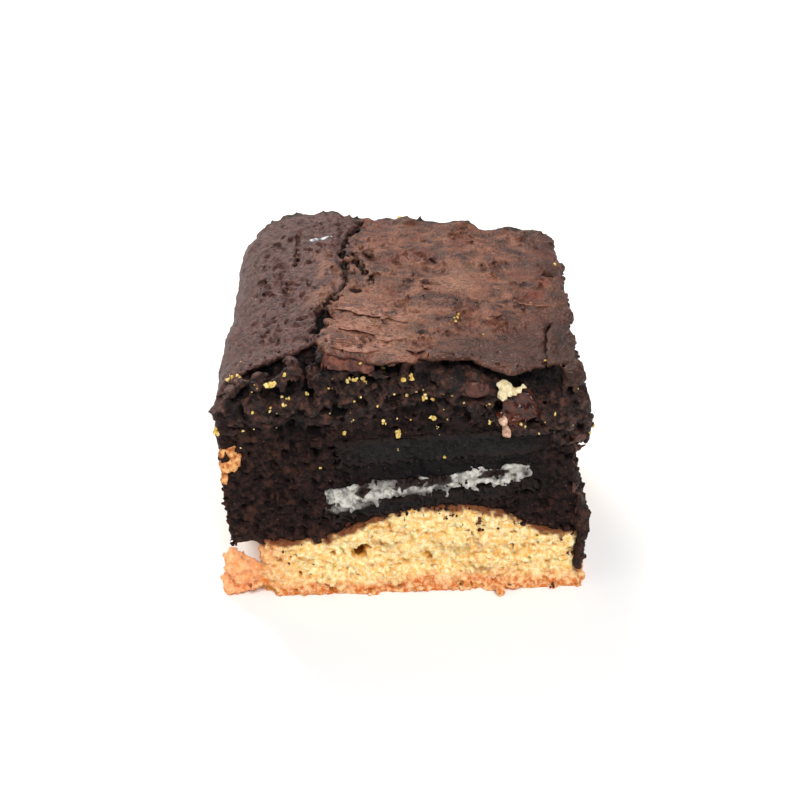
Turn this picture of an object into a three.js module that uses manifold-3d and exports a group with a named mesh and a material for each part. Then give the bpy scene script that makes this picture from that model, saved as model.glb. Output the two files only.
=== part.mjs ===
// A cut square of layered chocolate brownie: a pale baked cookie base, a dark fudgy
// body with a crackled top crust, and a black sandwich biscuit baked into the body and
// cut through by the front face. Millimetres, +Z up, the cut front face towards -Y,
// the origin on the table under the middle of the piece.
import * as THREE from 'three';
import { mergeVertices } from 'three/addons/utils/BufferGeometryUtils.js';
import Module from 'manifold-3d';

const wasm = await Module();
wasm.setup();

// Driving sizes of the whole piece
const LEFT = -33.0;
const RIGHT = 32.8;
const HALF_DEPTH = 30.5;
const FRONT_SLANT = 1.5;
const CORNER_RADIUS = 2.6;
const GAP = 0.3;
const CENTRE_X = 0.15;
const CENTRE_Y = 0.9;

// Cookie base
const BASE_EDGE_HEIGHT = 11.4;
const BASE_HUMP_HEIGHT = 6.8;
const BASE_HUMP_X = 7.5;
const BASE_HUMP_LEFT_WIDTH = 17.5;
const BASE_HUMP_RIGHT_WIDTH = 15.0;
const BASE_FLARE = 2.0;
const CHIP_DEPTH = 4.6;
const CHIP_START_Y = -17;
const CHIP_END_Y = -9;

// Top of the brownie: the ridge beside the crack, and how far each side drops from it
const RIDGE_X = -13.5;
const RIDGE_FRONT_HEIGHT = 49.2;
const RIDGE_BACK_HEIGHT = 50.8;
const RIGHT_SLOPE = 0.088;
const LEFT_DROP_FRONT = 6.6;
const LEFT_DROP_BACK = 5.2;
const CRACK_DEPTH = 3.2;
const CRACK_HALF_WIDTH = 0.95;
const CRACK_COLUMN = 10;
const LIP_OVERHANG = 0.5;
const LIP_RECESS = 2.4;
const CRUMB_RELIEF = 0.85;
const PAN_SIDE_RELIEF = 0.18;
const SKIRT_LEVELS = 7;

// Sandwich biscuit: wafers and cream, tilted in the body and cut by the front face
const BISCUIT_Y = -20.2;
const BISCUIT_CUT = 10.5;
const WAFER_RADIUS = 22;
const CREAM_RADIUS = 21;
const CREAM_THICKNESS = 3.5;
const LOWER_WAFER_THICKNESS = 2.5;
const UPPER_WAFER_THICKNESS = 4.8;
const STACK_X = 3.6;
const STACK_HEIGHT = 22.2;
const STACK_TILT = 7.2;
const UPPER_X = 6.6;
const UPPER_HEIGHT = 30.3;
const UPPER_TILT = 2.6;

const SEED = 7211;

// Small maths helpers
const mix = (a, b, t) => a + (b - a) * t;
const clamp = (x, lo, hi) => Math.min(hi, Math.max(lo, x));
const smooth = (x, lo, hi) => {
  const t = clamp((x - lo) / (hi - lo), 0, 1);
  return t * t * (3 - 2 * t);
};
const bell = (x, centre, width) => Math.exp(-(((x - centre) / width) ** 2));

// Seeded noise on a unit lattice, from -1 to 1
function lattice(i, j, k) {
  let h = (i * 374761 + j * 668265 + k * 1274126 + SEED) | 0;
  h = Math.imul(h ^ (h >>> 13), 1274126177);
  h = Math.imul(h ^ (h >>> 15), 668265263);
  return ((h ^ (h >>> 16)) >>> 0) / 2147483647.5 - 1;
}

function noise(x, y, z, size) {
  const p = [x / size, y / size, z / size];
  const cell = p.map(Math.floor);
  const f = p.map((value, axis) => smooth(value - cell[axis], 0, 1));
  let sum = 0;
  for (let corner = 0; corner < 8; corner += 1) {
    const step = [corner & 1, (corner >> 1) & 1, (corner >> 2) & 1];
    const weight = step.reduce((w, s, axis) => w * (s ? f[axis] : 1 - f[axis]), 1);
    sum += weight * lattice(cell[0] + step[0], cell[1] + step[1], cell[2] + step[2]);
  }
  return sum;
}

// The front was cut a little askew: the left end stands further forward
const slanted = (x, v) => v * (HALF_DEPTH - (v < 0 ? (FRONT_SLANT * x) / RIGHT : 0));

// Height of the cookie base under the brownie: a hump where the dough rose
function baseHeight(x, y) {
  const width = x < BASE_HUMP_X ? BASE_HUMP_LEFT_WIDTH : BASE_HUMP_RIGHT_WIDTH;
  const across = Math.exp(-(Math.abs((x - BASE_HUMP_X) / width) ** 3));
  const along = mix(1, 0.62, smooth(y, -12, 24));
  return BASE_EDGE_HEIGHT + BASE_HUMP_HEIGHT * across * along
    + 0.35 * noise(x, y, 3, 11);
}

// Where the long crack runs from the back edge to the front edge
function crackX(y) {
  return -11.4 - 4.2 * bell(y, -19, 7) + 0.6 * Math.sin(y / 3.4);
}

// Height of the top crust without the crack
function crustHeight(x, y) {
  const back = smooth(y, -HALF_DEPTH, HALF_DEPTH);
  const ridge = mix(RIDGE_FRONT_HEIGHT, RIDGE_BACK_HEIGHT, back);
  const waves = 0.35 * noise(x, y, 0, 7) + 0.2 * noise(x, y, 9, 3.4);
  if (x > RIDGE_X) {
    const edge = mix(0.3, 1.6, back) * smooth(x, RIGHT - 6, RIGHT);
    return ridge - RIGHT_SLOPE * (x - RIDGE_X) - edge + waves;
  }
  const t = clamp((RIDGE_X - x) / (RIDGE_X - LEFT), 0, 1.05);
  const drop = mix(LEFT_DROP_FRONT, LEFT_DROP_BACK, back) * t ** mix(1.2, 3.2, back);
  return ridge - drop - 1.1 * smooth(t, 0.82, 1.02) + 0.6 * waves;
}

// Depth of the crack, and of the pit where the crust broke through beside it
function crackDepth(x, y) {
  const along = 0.75 + 0.25 * Math.sin(y / 2.7 + 1);
  const near = 1 - smooth(Math.abs(x - crackX(y)), 0.2, CRACK_HALF_WIDTH);
  const pit = 2.2 * bell(x, -7.2, 2.2) * bell(y, 7, 4.5);
  return CRACK_DEPTH * along * near + pit;
}

// Geometry helpers
function solidOf(geometry) {
  const bare = geometry.index ? geometry.clone() : geometry;
  bare.deleteAttribute('normal');
  bare.deleteAttribute('uv');
  const merged = mergeVertices(bare, 1e-4);
  return new wasm.Manifold(new wasm.Mesh({
    numProp: 3,
    vertProperties: Float32Array.from(merged.attributes.position.array),
    triVerts: Uint32Array.from(merged.index.array),
  }));
}

function geometryOf(solid) {
  const mesh = solid.getMesh();
  const geometry = new THREE.BufferGeometry();
  const positions = new Float32Array(mesh.numVert * 3);
  for (let i = 0; i < mesh.numVert; i += 1) {
    for (let axis = 0; axis < 3; axis += 1) {
      positions[3 * i + axis] = mesh.vertProperties[mesh.numProp * i + axis];
    }
  }
  geometry.setAttribute('position', new THREE.BufferAttribute(positions, 3));
  geometry.setIndex(new THREE.BufferAttribute(Uint32Array.from(mesh.triVerts), 1));
  geometry.computeVertexNormals();
  return geometry;
}

// A box of even segments whose points are moved by a function of u, v (-1 to 1 across
// and along) and w (0 at the bottom, 1 at the top)
function shapedBlock(columns, rows, levels, place) {
  const block = new THREE.BoxGeometry(2, 2, 2, columns, rows, levels);
  block.deleteAttribute('normal');
  block.deleteAttribute('uv');
  const merged = mergeVertices(block, 1e-4);
  const at = merged.attributes.position;
  for (let i = 0; i < at.count; i += 1) {
    const p = place(at.getX(i), at.getY(i), (at.getZ(i) + 1) / 2);
    at.setXYZ(i, p[0], p[1], p[2]);
  }
  return merged;
}

// Rounds the upright corners of a plan from x lo to hi
function roundPlan(x, y, lo, hi, radius) {
  const coreX = clamp(x, lo + radius, hi - radius);
  const coreY = clamp(y, radius + slanted(x, -1), HALF_DEPTH - radius);
  const dx = x - coreX;
  const dy = y - coreY;
  const reach = Math.hypot(dx, dy);
  if (reach <= radius) {
    return [x, y];
  }
  return [coreX + (dx * radius) / reach, coreY + (dy * radius) / reach];
}

// An uneven lump, for crumbs and crags that are fused on
function lump(x, y, z, rx, ry, rz) {
  const ball = new THREE.IcosahedronGeometry(1, 1);
  const at = ball.attributes.position;
  for (let i = 0; i < at.count; i += 1) {
    const p = [at.getX(i), at.getY(i), at.getZ(i)];
    const swell = 1 + 0.16 * noise(p[0] + x, p[1] + y, p[2] + z, 0.7);
    at.setXYZ(i, x + rx * swell * p[0], y + ry * swell * p[1], z + rz * swell * p[2]);
  }
  return ball;
}

// A disc cut by a chord. front is how far it runs on, straight, past the chord
function cutDisc(radius, thickness, front, ripple) {
  const half = Math.sqrt(radius ** 2 - BISCUIT_CUT ** 2);
  const start = Math.atan2(-BISCUIT_CUT, half);
  const arcSteps = 26;
  const chordSteps = 16;
  const shape = new THREE.Shape();
  shape.moveTo(half, -BISCUIT_CUT);
  for (let i = 1; i <= arcSteps; i += 1) {
    const a = mix(start, Math.PI - start, i / arcSteps);
    shape.lineTo(radius * Math.cos(a), radius * Math.sin(a));
  }
  if (front > 0) {
    shape.lineTo(-half, -BISCUIT_CUT - front);
    shape.lineTo(half, -BISCUIT_CUT - front);
  } else {
    for (let i = 1; i < chordSteps; i += 1) {
      const x = mix(-half, half, i / chordSteps);
      shape.lineTo(x, -BISCUIT_CUT + ripple * (0.5 + 0.5 * noise(x, 5, 2, 2.5)));
    }
  }
  const disc = new THREE.ExtrudeGeometry(shape, { depth: thickness, bevelEnabled: false });
  disc.translate(0, 0, -thickness / 2);
  return disc;
}

// Moves a disc into the body: along its own axis first, then tilted, then placed
function seat(geometry, x, z, tilt, along) {
  geometry.translate(0, 0, along);
  geometry.rotateZ(Math.atan(FRONT_SLANT / RIGHT));
  geometry.rotateY(THREE.MathUtils.degToRad(-tilt));
  geometry.translate(x, BISCUIT_Y, z);
  return geometry;
}

// Brownie body
function placeBrownie(u, v, w) {
  let x = mix(LEFT, RIGHT, (u + 1) / 2);
  let y = slanted(x, v);
  const line = crackX(y);
  const span = (RIGHT - LEFT) / 30;
  const column = LEFT + span * CRACK_COLUMN;
  const away = x - column;
  const pull = mix(0.2, 1, smooth(w, 0.7, 0.97)) * (1 - smooth(Math.abs(away), 5, 12));
  x += (line - column) * pull;
  if (Math.abs(away) > 0.1 && Math.abs(away) < 1.9 * span && w > 0.9) {
    x = line + Math.sign(away) * CRACK_HALF_WIDTH * (Math.abs(away) / span);
  }
  const level = mix(baseHeight(x, y), crustHeight(x, y), w);
  [x, y] = roundPlan(x, y, LEFT, RIGHT, CORNER_RADIUS);
  const crumb = CRUMB_RELIEF
    * (0.65 * noise(x, y, level, 4.2) + 0.35 * noise(x, y, level, 1.9));
  if (v === -1) {
    const beside = smooth(x, -14, -10);
    const recess = LIP_RECESS * bell(w, 0.93, 0.035) * mix(0.45, 1, beside);
    const hollow = 1.8 * bell(x, -30.5, 2.6) * bell(level, 39.5, 2.4);
    const pocket = 2.8 * bell(x, 19.5, 2.6) * bell(level, 37.5, 2.2);
    const rough = mix(0.55, 1.25, smooth(level, 30, 37));
    y += rough * crumb + recess + hollow + pocket - LIP_OVERHANG * smooth(w, 0.97, 1);
  }
  if (v === 1) {
    y -= crumb + 0.7 * smooth(w, 0.95, 1);
  }
  if (u === 1) {
    const neck = 1.1 * bell(level, 24.5, 3.4);
    const bulge = 1.5 * bell(level, 33, 6);
    const shoulder = mix(1.5, 3.1, 1 - smooth(y, -14, 6)) * smooth(level, 40, 45.5);
    x += 0.7 * crumb + bulge - neck - shoulder + 0.7 * (1 - smooth(level, 13, 21));
  }
  if (u === -1) {
    const pan = PAN_SIDE_RELIEF * noise(x, y, level, 3);
    const lean = 1.0 * (1 - smooth(level, 11, 27));
    const swell = 0.5 + 0.5 * bell(level, 38, 5) * (1 - smooth(y, -20, 0));
    x += pan + lean - swell + 1.3 * smooth(w, 0.9, 1);
  }
  const floor = baseHeight(x, y) + GAP;
  const ceiling = crustHeight(x, y) - (w > 0.99 ? crackDepth(x, y) : 0);
  return [x, y, mix(floor, ceiling, w)];
}

// The thin skirt of fudge that ran down over the right side of the base
function placeSkirt(u, v, w) {
  const t = (v + 1) / 2;
  const y = mix(-29.0, 9, t);
  const level = Math.round(w * SKIRT_LEVELS);
  const low = 3.0 + 0.9 * noise(y, 2, 0, 5) + 7 * smooth(t, 0.7, 1);
  const hang = SKIRT_LEVELS - 3;
  const z = level <= hang ? mix(low, 12.6, level / hang) : [12.9, 17, 21][level - hang - 1];
  const swell = mix(1.3, 0.3, smooth(t, 0.75, 1)) * mix(0.5, 1, smooth(z, low, low + 3));
  const inner = level <= hang ? 33.1 : 30.3;
  const outer = 33.1 + (swell + 0.15 * noise(y, z, 4, 3)) * (1 - smooth(z, 12, 21));
  return [u < 0 ? inner : outer - 1.4 * smooth(z, 14, 21), y, z];
}

// Cookie base
function placeBase(u, v, w) {
  const chip = CHIP_DEPTH * (1 - smooth(v * HALF_DEPTH, CHIP_START_Y, CHIP_END_Y));
  const left = LEFT + 0.7 + chip;
  const foot = 1 - smooth(w, 0, 0.3);
  const right = RIGHT - 0.6 + BASE_FLARE * foot;
  let x = mix(left, right, (u + 1) / 2);
  let y = slanted(x, v);
  [x, y] = roundPlan(x, y, left, right, CORNER_RADIUS);
  const level = w * baseHeight(x, y);
  const crumb = 0.3 * noise(x, y, level, 3.1) + 0.15 * noise(x, y, level, 1.7);
  if (v === -1) {
    y += crumb - 0.25;
  }
  if (v === 1) {
    y -= crumb;
  }
  if (u === 1) {
    x -= 0.25 + Math.abs(crumb);
  }
  if (u === -1) {
    x += crumb + 0.5 * (1 - smooth(w, 0.1, 0.4));
  }
  return [x, y, w * baseHeight(x, y)];
}

// Each crag: centre x, y, z, then its half sizes
const BROWNIE_CRAGS = [
  [28.2, -26.6, 38.4, 5.8, 4.3, 4.8],
  [26.4, -27.2, 32.6, 6.6, 3.3, 2.8],
  [30.4, -26.2, 42.6, 2.9, 3.4, 2.0],
  [10.6, -28.0, 41.4, 6.8, 3.6, 2.4],
  [-20.0, -29.6, 40.6, 3.3, 3.2, 2.9],
  [-26.4, -29.6, 41.0, 2.6, 3.2, 2.2],
  [-13.4, -29.2, 42.0, 3.0, 3.4, 3.2],
  [-3.6, -29.0, 42.2, 4.4, 3.2, 1.7],
  [-7.5, -29.2, 37.5, 3.6, 2.8, 1.6],
  [-24.0, -30.0, 35.4, 4.6, 2.8, 1.6],
  [-33.4, -29.0, 36.6, 1.5, 1.8, 0.9],
  [0.4, 28.9, 49.4, 2.7, 1.8, 1.2],
  [10.8, 29.0, 48.4, 3.8, 1.8, 1.2],
  [26.5, 28.6, 46.4, 2.7, 1.8, 1.1],
];
const BASE_CRAGS = [
  [-30.4, -28.8, 3.8, 3.7, 3.8, 3.9],
  [-32.2, -28.8, 7.3, 1.9, 2.3, 2.2],
  [-27.2, -28.9, 3.2, 3.2, 3.4, 3.2],
  [-32.0, -29.8, 1.8, 1.9, 2.4, 2.2],
];
const BASE_HOLES = [
  [-8.3, -31.0, 9.0, 1.4, 2.9, 1.8],
  [4.3, -30.8, 7.6, 1.05, 2.2, 1.2],
];

const lowerAlong = -(CREAM_THICKNESS + LOWER_WAFER_THICKNESS) / 2 - GAP;
const lowerRoom = seat(
  cutDisc(WAFER_RADIUS + GAP, LOWER_WAFER_THICKNESS + 2 * GAP, 4, 0),
  STACK_X, STACK_HEIGHT, STACK_TILT, lowerAlong,
);
const creamRoom = seat(
  cutDisc(CREAM_RADIUS + GAP, CREAM_THICKNESS + 2 * GAP, 4, 0),
  STACK_X, STACK_HEIGHT, STACK_TILT, 0,
);
const upperRoom = seat(
  cutDisc(WAFER_RADIUS + GAP, UPPER_WAFER_THICKNESS + 2 * GAP, 4, 0),
  UPPER_X, UPPER_HEIGHT, UPPER_TILT, 0,
);

function makeBase() {
  let solid = solidOf(shapedBlock(24, 20, 5, placeBase));
  for (const crag of BASE_CRAGS) {
    solid = solid.add(solidOf(lump(...crag)));
  }
  const under = new THREE.BoxGeometry(100, 100, 10);
  under.translate(0, 0, -5);
  solid = solid.subtract(solidOf(under));
  for (const hole of BASE_HOLES) {
    solid = solid.subtract(solidOf(lump(...hole)));
  }
  return geometryOf(solid.subtract(solidOf(lowerRoom)));
}

function makeBrownie() {
  let solid = solidOf(shapedBlock(30, 22, 15, placeBrownie));
  for (const crag of BROWNIE_CRAGS) {
    solid = solid.add(solidOf(lump(...crag)));
  }
  solid = solid.add(solidOf(shapedBlock(1, 12, SKIRT_LEVELS, placeSkirt)));
  for (const room of [lowerRoom, creamRoom, upperRoom]) {
    solid = solid.subtract(solidOf(room));
  }
  return geometryOf(solid);
}

function piece(name, geometry, color, roughness) {
  const material = new THREE.MeshStandardMaterial({ color, roughness, metalness: 0 });
  const mesh = new THREE.Mesh(geometry, material);
  mesh.name = name;
  return mesh;
}

const brownieSquare = new THREE.Group();
brownieSquare.add(
  piece('cookie_base', makeBase(), 0xe3c47c, 0.9),
  piece('brownie', makeBrownie(), 0x3a241d, 0.75),
  piece('biscuit_lower', seat(
    cutDisc(WAFER_RADIUS, LOWER_WAFER_THICKNESS, 0, 0.25),
    STACK_X, STACK_HEIGHT, STACK_TILT, lowerAlong,
  ), 0x1f1d1e, 0.85),
  piece('cream_filling', seat(
    cutDisc(CREAM_RADIUS, CREAM_THICKNESS, 0, 0.6),
    STACK_X, STACK_HEIGHT, STACK_TILT, 0,
  ), 0xc9c8c2, 0.7),
  piece('biscuit_upper', seat(
    cutDisc(WAFER_RADIUS, UPPER_WAFER_THICKNESS, 0, 0.25),
    UPPER_X, UPPER_HEIGHT, UPPER_TILT, 0,
  ), 0x1f1d1e, 0.85),
);

brownieSquare.position.set(CENTRE_X, CENTRE_Y, 0);

export default brownieSquare;
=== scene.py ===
"""A cut square of layered chocolate brownie, dressed for rendering.

The piece has a pale crumbly cookie base, a dark fudge body under a crackled papery crust,
and a black sandwich biscuit baked into the body and cut through by the front face. Each
layer is sampled as a signed distance in millimetres, broken up with crumbs and pores, and
skinned. The front cut faces -Y and the origin is on the table under the middle.
"""

import logging
import math
from dataclasses import dataclass
from enum import Enum
from typing import Any

import bmesh
import bpy
import numpy as np
from mathutils import Matrix, Vector


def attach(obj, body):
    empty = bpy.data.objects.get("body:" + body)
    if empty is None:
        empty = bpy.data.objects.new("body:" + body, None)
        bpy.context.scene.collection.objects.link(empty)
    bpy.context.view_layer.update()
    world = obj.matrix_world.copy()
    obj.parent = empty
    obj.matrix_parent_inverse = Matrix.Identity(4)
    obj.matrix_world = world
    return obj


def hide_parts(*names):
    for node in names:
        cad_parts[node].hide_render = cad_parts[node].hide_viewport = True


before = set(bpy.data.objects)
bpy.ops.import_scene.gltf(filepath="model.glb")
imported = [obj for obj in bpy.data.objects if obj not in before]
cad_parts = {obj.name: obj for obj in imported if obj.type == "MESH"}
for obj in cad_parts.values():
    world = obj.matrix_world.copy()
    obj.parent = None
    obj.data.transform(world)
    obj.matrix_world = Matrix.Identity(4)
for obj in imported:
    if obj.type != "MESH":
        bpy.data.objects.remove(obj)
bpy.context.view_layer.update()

LOG = logging.getLogger("brownie")
MM = 0.001
LOOK_DOWN = 28.7  # how far the camera looks down, in degrees
SHIFT = np.array([0.15, 0.9, 0.0])  # from the sizes below to the frame, in millimetres
Array = np.ndarray


# Maths helpers


def mix(a: Any, b: Any, t: Any) -> Any:
    """The value a share t of the way from a to b."""
    return a + (b - a) * t


def smooth(x: Any, low: float, high: float) -> Any:
    """An even step from 0 at low to 1 at high."""
    t = np.clip((x - low) / (high - low), 0.0, 1.0)
    return t * t * (3.0 - 2.0 * t)


def bell(x: Any, centre: float, width: float) -> Any:
    """A bell curve of height 1 about centre."""
    return np.exp(-(((x - centre) / width) ** 2))


def soft_max(a: Array, b: Array, radius: float) -> Array:
    """The greater of two distances, rounded over radius where they meet."""
    blend = np.maximum(radius - np.abs(a - b), 0.0)
    return np.maximum(a, b) + blend * blend / (4.0 * radius)


def grain(x: Any, y: Any, z: Any, size: float, seed: int) -> Array:
    """Smooth seeded noise from -1 to 1 at any points.

    Args:
        x: Places across, in millimetres.
        y: Places along.
        z: Places up.
        size: Width of one bump in millimetres.
        seed: Which pattern.

    Returns:
        One value for each point.
    """
    places = np.broadcast_arrays(*(np.asarray(v, float) / size for v in (x, y, z)))
    cells = [np.floor(v).astype(np.int64) for v in places]
    parts = [smooth(v - c, 0.0, 1.0) for v, c in zip(places, cells)]
    total = np.zeros(places[0].shape)
    for corner in range(8):
        steps = [corner & 1, corner >> 1 & 1, corner >> 2 & 1]
        h = sum((c + s) * p for c, s, p in zip(cells, steps, (374761393, 668265263, 1274126177)))
        h = (h + seed * 97463) & 0xFFFFFFFF
        h = ((h ^ (h >> 13)) * 1274126177) & 0xFFFFFFFF
        h ^= h >> 16
        weight = np.ones_like(total)
        for part, step in zip(parts, steps):
            weight = weight * (part if step else 1.0 - part)
        total += (h / 2147483647.5 - 1.0) * weight
    return total


def linear(code: str) -> tuple[float, float, float, float]:
    """Turns an sRGB hex colour such as #825b4d to linear light, with alpha 1."""
    values = [int(code[i : i + 2], 16) / 255 for i in (1, 3, 5)]
    return (*(v / 12.92 if v <= 0.04045 else ((v + 0.055) / 1.055) ** 2.4 for v in values), 1.0)


# The form that every layer shares


@dataclass(frozen=True)
class BrownieForm:
    """The main shape of the square, with the sizes of its solids, in millimetres."""

    left: float = -33.0
    right: float = 32.8
    half_depth: float = 30.5
    front_slant: float = 1.5
    corner: float = 2.6
    base_edge: float = 11.4
    base_hump: float = 6.8
    hump_x: float = 7.5
    hump_left: float = 17.5
    hump_right: float = 15.0
    ridge_x: float = -13.5
    ridge_front: float = 49.2
    ridge_back: float = 50.8
    right_slope: float = 0.088
    left_drop_front: float = 6.6
    left_drop_back: float = 5.2
    right_profile: tuple = (
        (9.0, 33.6), (15.0, 33.5), (19.2, 32.6), (22.5, 31.8), (26.3, 31.2), (28.1, 31.3),
        (30.5, 32.7), (32.9, 33.8), (36.2, 33.3), (39.5, 32.3), (42.4, 31.6), (45.0, 31.2),
        (48.0, 29.6),
    )
    crust_edge: tuple = (
        (-33.0, -28.4), (-29.0, -27.4), (-25.8, -26.4), (-23.5, -25.8), (-20.6, -25.0),
        (-18.2, -24.4), (-16.2, -23.2), (-14.9, -28.0), (-14.2, -30.0), (-7.0, -30.4),
        (-5.3, -31.5), (1.2, -31.2), (2.3, -29.0), (7.0, -28.7), (11.2, -28.6), (12.6, -29.8),
        (15.0, -31.0), (17.0, -31.6), (21.4, -31.4), (22.0, -29.8), (26.2, -27.6), (27.6, -25.6),
        (29.5, -24.6),
    )
    crack: tuple = (
        (33.0, -8.0), (29.6, -8.6), (23.7, -9.6), (20.1, -11.1), (15.7, -11.6), (12.9, -12.4),
        (8.3, -12.0), (5.3, -11.7), (-1.1, -11.1), (-6.5, -13.3), (-9.0, -14.4), (-12.6, -15.0),
        (-17.2, -15.5), (-23.2, -15.6), (-33.0, -15.8),
    )

    def front_y(self, x: Any) -> Any:
        """Where the front cut stands at x: its left end is further forward."""
        return -self.half_depth + self.front_slant * x / self.right

    def base_height(self, x: Any, y: Any) -> Array:
        """Height of the cookie base: a hump where the dough rose under the biscuit.

        Args:
            x: Places across, in millimetres.
            y: Places along the depth.

        Returns:
            The heights.
        """
        width = np.where(x < self.hump_x, self.hump_left, self.hump_right)
        across = np.exp(-(np.abs((x - self.hump_x) / width) ** 3))
        along = mix(1.0, 0.62, smooth(y, -12, 24))
        return self.base_edge + self.base_hump * across * along + 0.3 * grain(x, y, 3.0, 9.0, 3)

    def crack_x(self, y: Any) -> Any:
        """Where the long crack runs, from the back edge to the front edge.

        Args:
            y: Places along the depth, in millimetres.

        Returns:
            The crack's x at each of them.
        """
        path = sorted(self.crack)
        line = np.interp(y, [p[0] for p in path], [p[1] for p in path])
        return line + 0.25 * grain(y, 0.0, 0.0, 1.3, 4)

    def plate(self, x: Any, y: Any) -> Array:
        """1 on the papery crust right of the crack, 0 on the darker crust left of it."""
        return smooth(x - self.crack_x(y), -0.4, 0.4)

    def crust_height(self, x: Any, y: Any) -> Array:
        """Height of the top crust without its crack and small relief.

        Args:
            x: Places across, in millimetres.
            y: Places along the depth.

        Returns:
            The heights.
        """
        back = smooth(y, -self.half_depth, self.half_depth)
        ridge = mix(self.ridge_front, self.ridge_back, back)
        waves = 0.35 * grain(x, y, 0.0, 7.0, 5) + 0.2 * grain(x, y, 9.0, 3.4, 6)
        edge = mix(0.3, 1.6, back) * smooth(x, self.right - 6, self.right)
        tilt = 0.16 * np.maximum(x - 25.5, 0.0) * (1 - smooth(y, -13, -8))
        right = ridge - self.right_slope * (x - self.ridge_x) - edge - tilt + waves
        t = np.clip((self.ridge_x - x) / (self.ridge_x - self.left), 0.0, 1.1)
        drop = mix(self.left_drop_front, self.left_drop_back, back) * t ** mix(1.2, 3.2, back)
        swell = 0.7 * bell(t, 0.35, 0.45) * back
        left = ridge - drop - 0.8 * smooth(t, 0.82, 1.05) + 0.6 * waves + swell
        return np.where(x > self.ridge_x, right, left)

    def right_x(self, y: Any, z: Any) -> Array:
        """Where the right cut face stands: its profile bulges and necks only near the front.

        Args:
            y: Places along the depth, in millimetres.
            z: Heights.

        Returns:
            The face's x at each of them.
        """
        near = 1 - smooth(y, -27, -15)
        front = np.interp(z, [p[0] for p in self.right_profile], [p[1] for p in self.right_profile])
        back = self.right - 1.3 - 0.9 * smooth(z, 40, 47) + 0.5 * grain(y, z, 0.0, 9.0, 8)
        return mix(back, front - 0.55, near)

    def edge_y(self, x: Any) -> Array:
        """Where the front edge of the top crust stands: it broke off deeper beside the crack."""
        line = np.interp(x, [p[0] for p in self.crust_edge], [p[1] for p in self.crust_edge])
        return line + 0.45 * grain(x, 0.0, 0.0, 2.6, 9) + 0.25 * grain(x, 0.0, 0.0, 0.9, 10)

    def walls(self, s: "Sponge", left: Array, right: Array, front: Array, inset: float) -> Array:
        """Distance to the upright walls, rounded where two of them meet.

        Args:
            s: Samples to measure at.
            left: Where the left wall stands.
            right: Where the right wall stands.
            front: Where the front wall stands.
            inset: How far the back wall stands in from the full depth.

        Returns:
            The distance on every sample, negative inside.
        """
        r = self.corner
        qx = np.maximum(left + r - s.x, s.x - right + r)
        qy = np.maximum(front + r - s.y, s.y - self.half_depth + inset + r)
        outside = np.hypot(np.maximum(qx, 0), np.maximum(qy, 0))
        return outside + np.minimum(np.maximum(qx, qy), 0) - r

    def left_x(self, y: Any, z: Any) -> Array:
        """Where the baked side, which stood against the pan, stands."""
        swell = 0.5 + 0.5 * bell(z, 38, 5) * (1 - smooth(y, -20, 0))
        return self.left + 1.0 * (1 - smooth(z, 11, 27)) - swell


# Sampling and skinning


@dataclass
class Skin:
    """A surface of four-sided faces in millimetres, with one value a point for each mask."""

    points: Array
    faces: Array

    def normals(self) -> Array:
        """Unit normals at the points.

        Returns:
            One normal for each point, pointing outward.
        """
        a, b, c, d = (self.points[self.faces[:, i]] for i in range(4))
        across = np.cross(c - a, d - b)
        total = np.stack(
            [
                np.bincount(
                    self.faces.ravel(), np.repeat(across[:, i], 4), minlength=len(self.points)
                )
                for i in range(3)
            ],
            axis=1,
        )
        return total / np.maximum(np.linalg.norm(total, axis=1, keepdims=True), 1e-9)

    def largest(self, share: float = 0.02) -> "Skin":
        """Drops sealed pores and floating scraps: bodies with under a share of the points.

        Args:
            share: Least share of all points that a body has to hold to stay.

        Returns:
            The skin without them.
        """
        label = np.arange(len(self.points))
        order = np.argsort(self.faces.ravel(), kind="stable")
        used, starts = np.unique(self.faces.ravel()[order], return_index=True)
        while True:
            low = np.repeat(label[self.faces].min(axis=1), 4)[order]
            fresh = label.copy()
            fresh[used] = np.minimum(fresh[used], np.minimum.reduceat(low, starts))
            fresh = fresh[fresh]
            if np.array_equal(fresh, label):
                break
            label = fresh
        names, sizes = np.unique(label, return_counts=True)
        keep = np.isin(label, names[sizes >= share * len(label)])
        number = np.cumsum(keep) - 1
        return Skin(self.points[keep], number[self.faces[keep[self.faces].all(axis=1)]])


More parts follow.
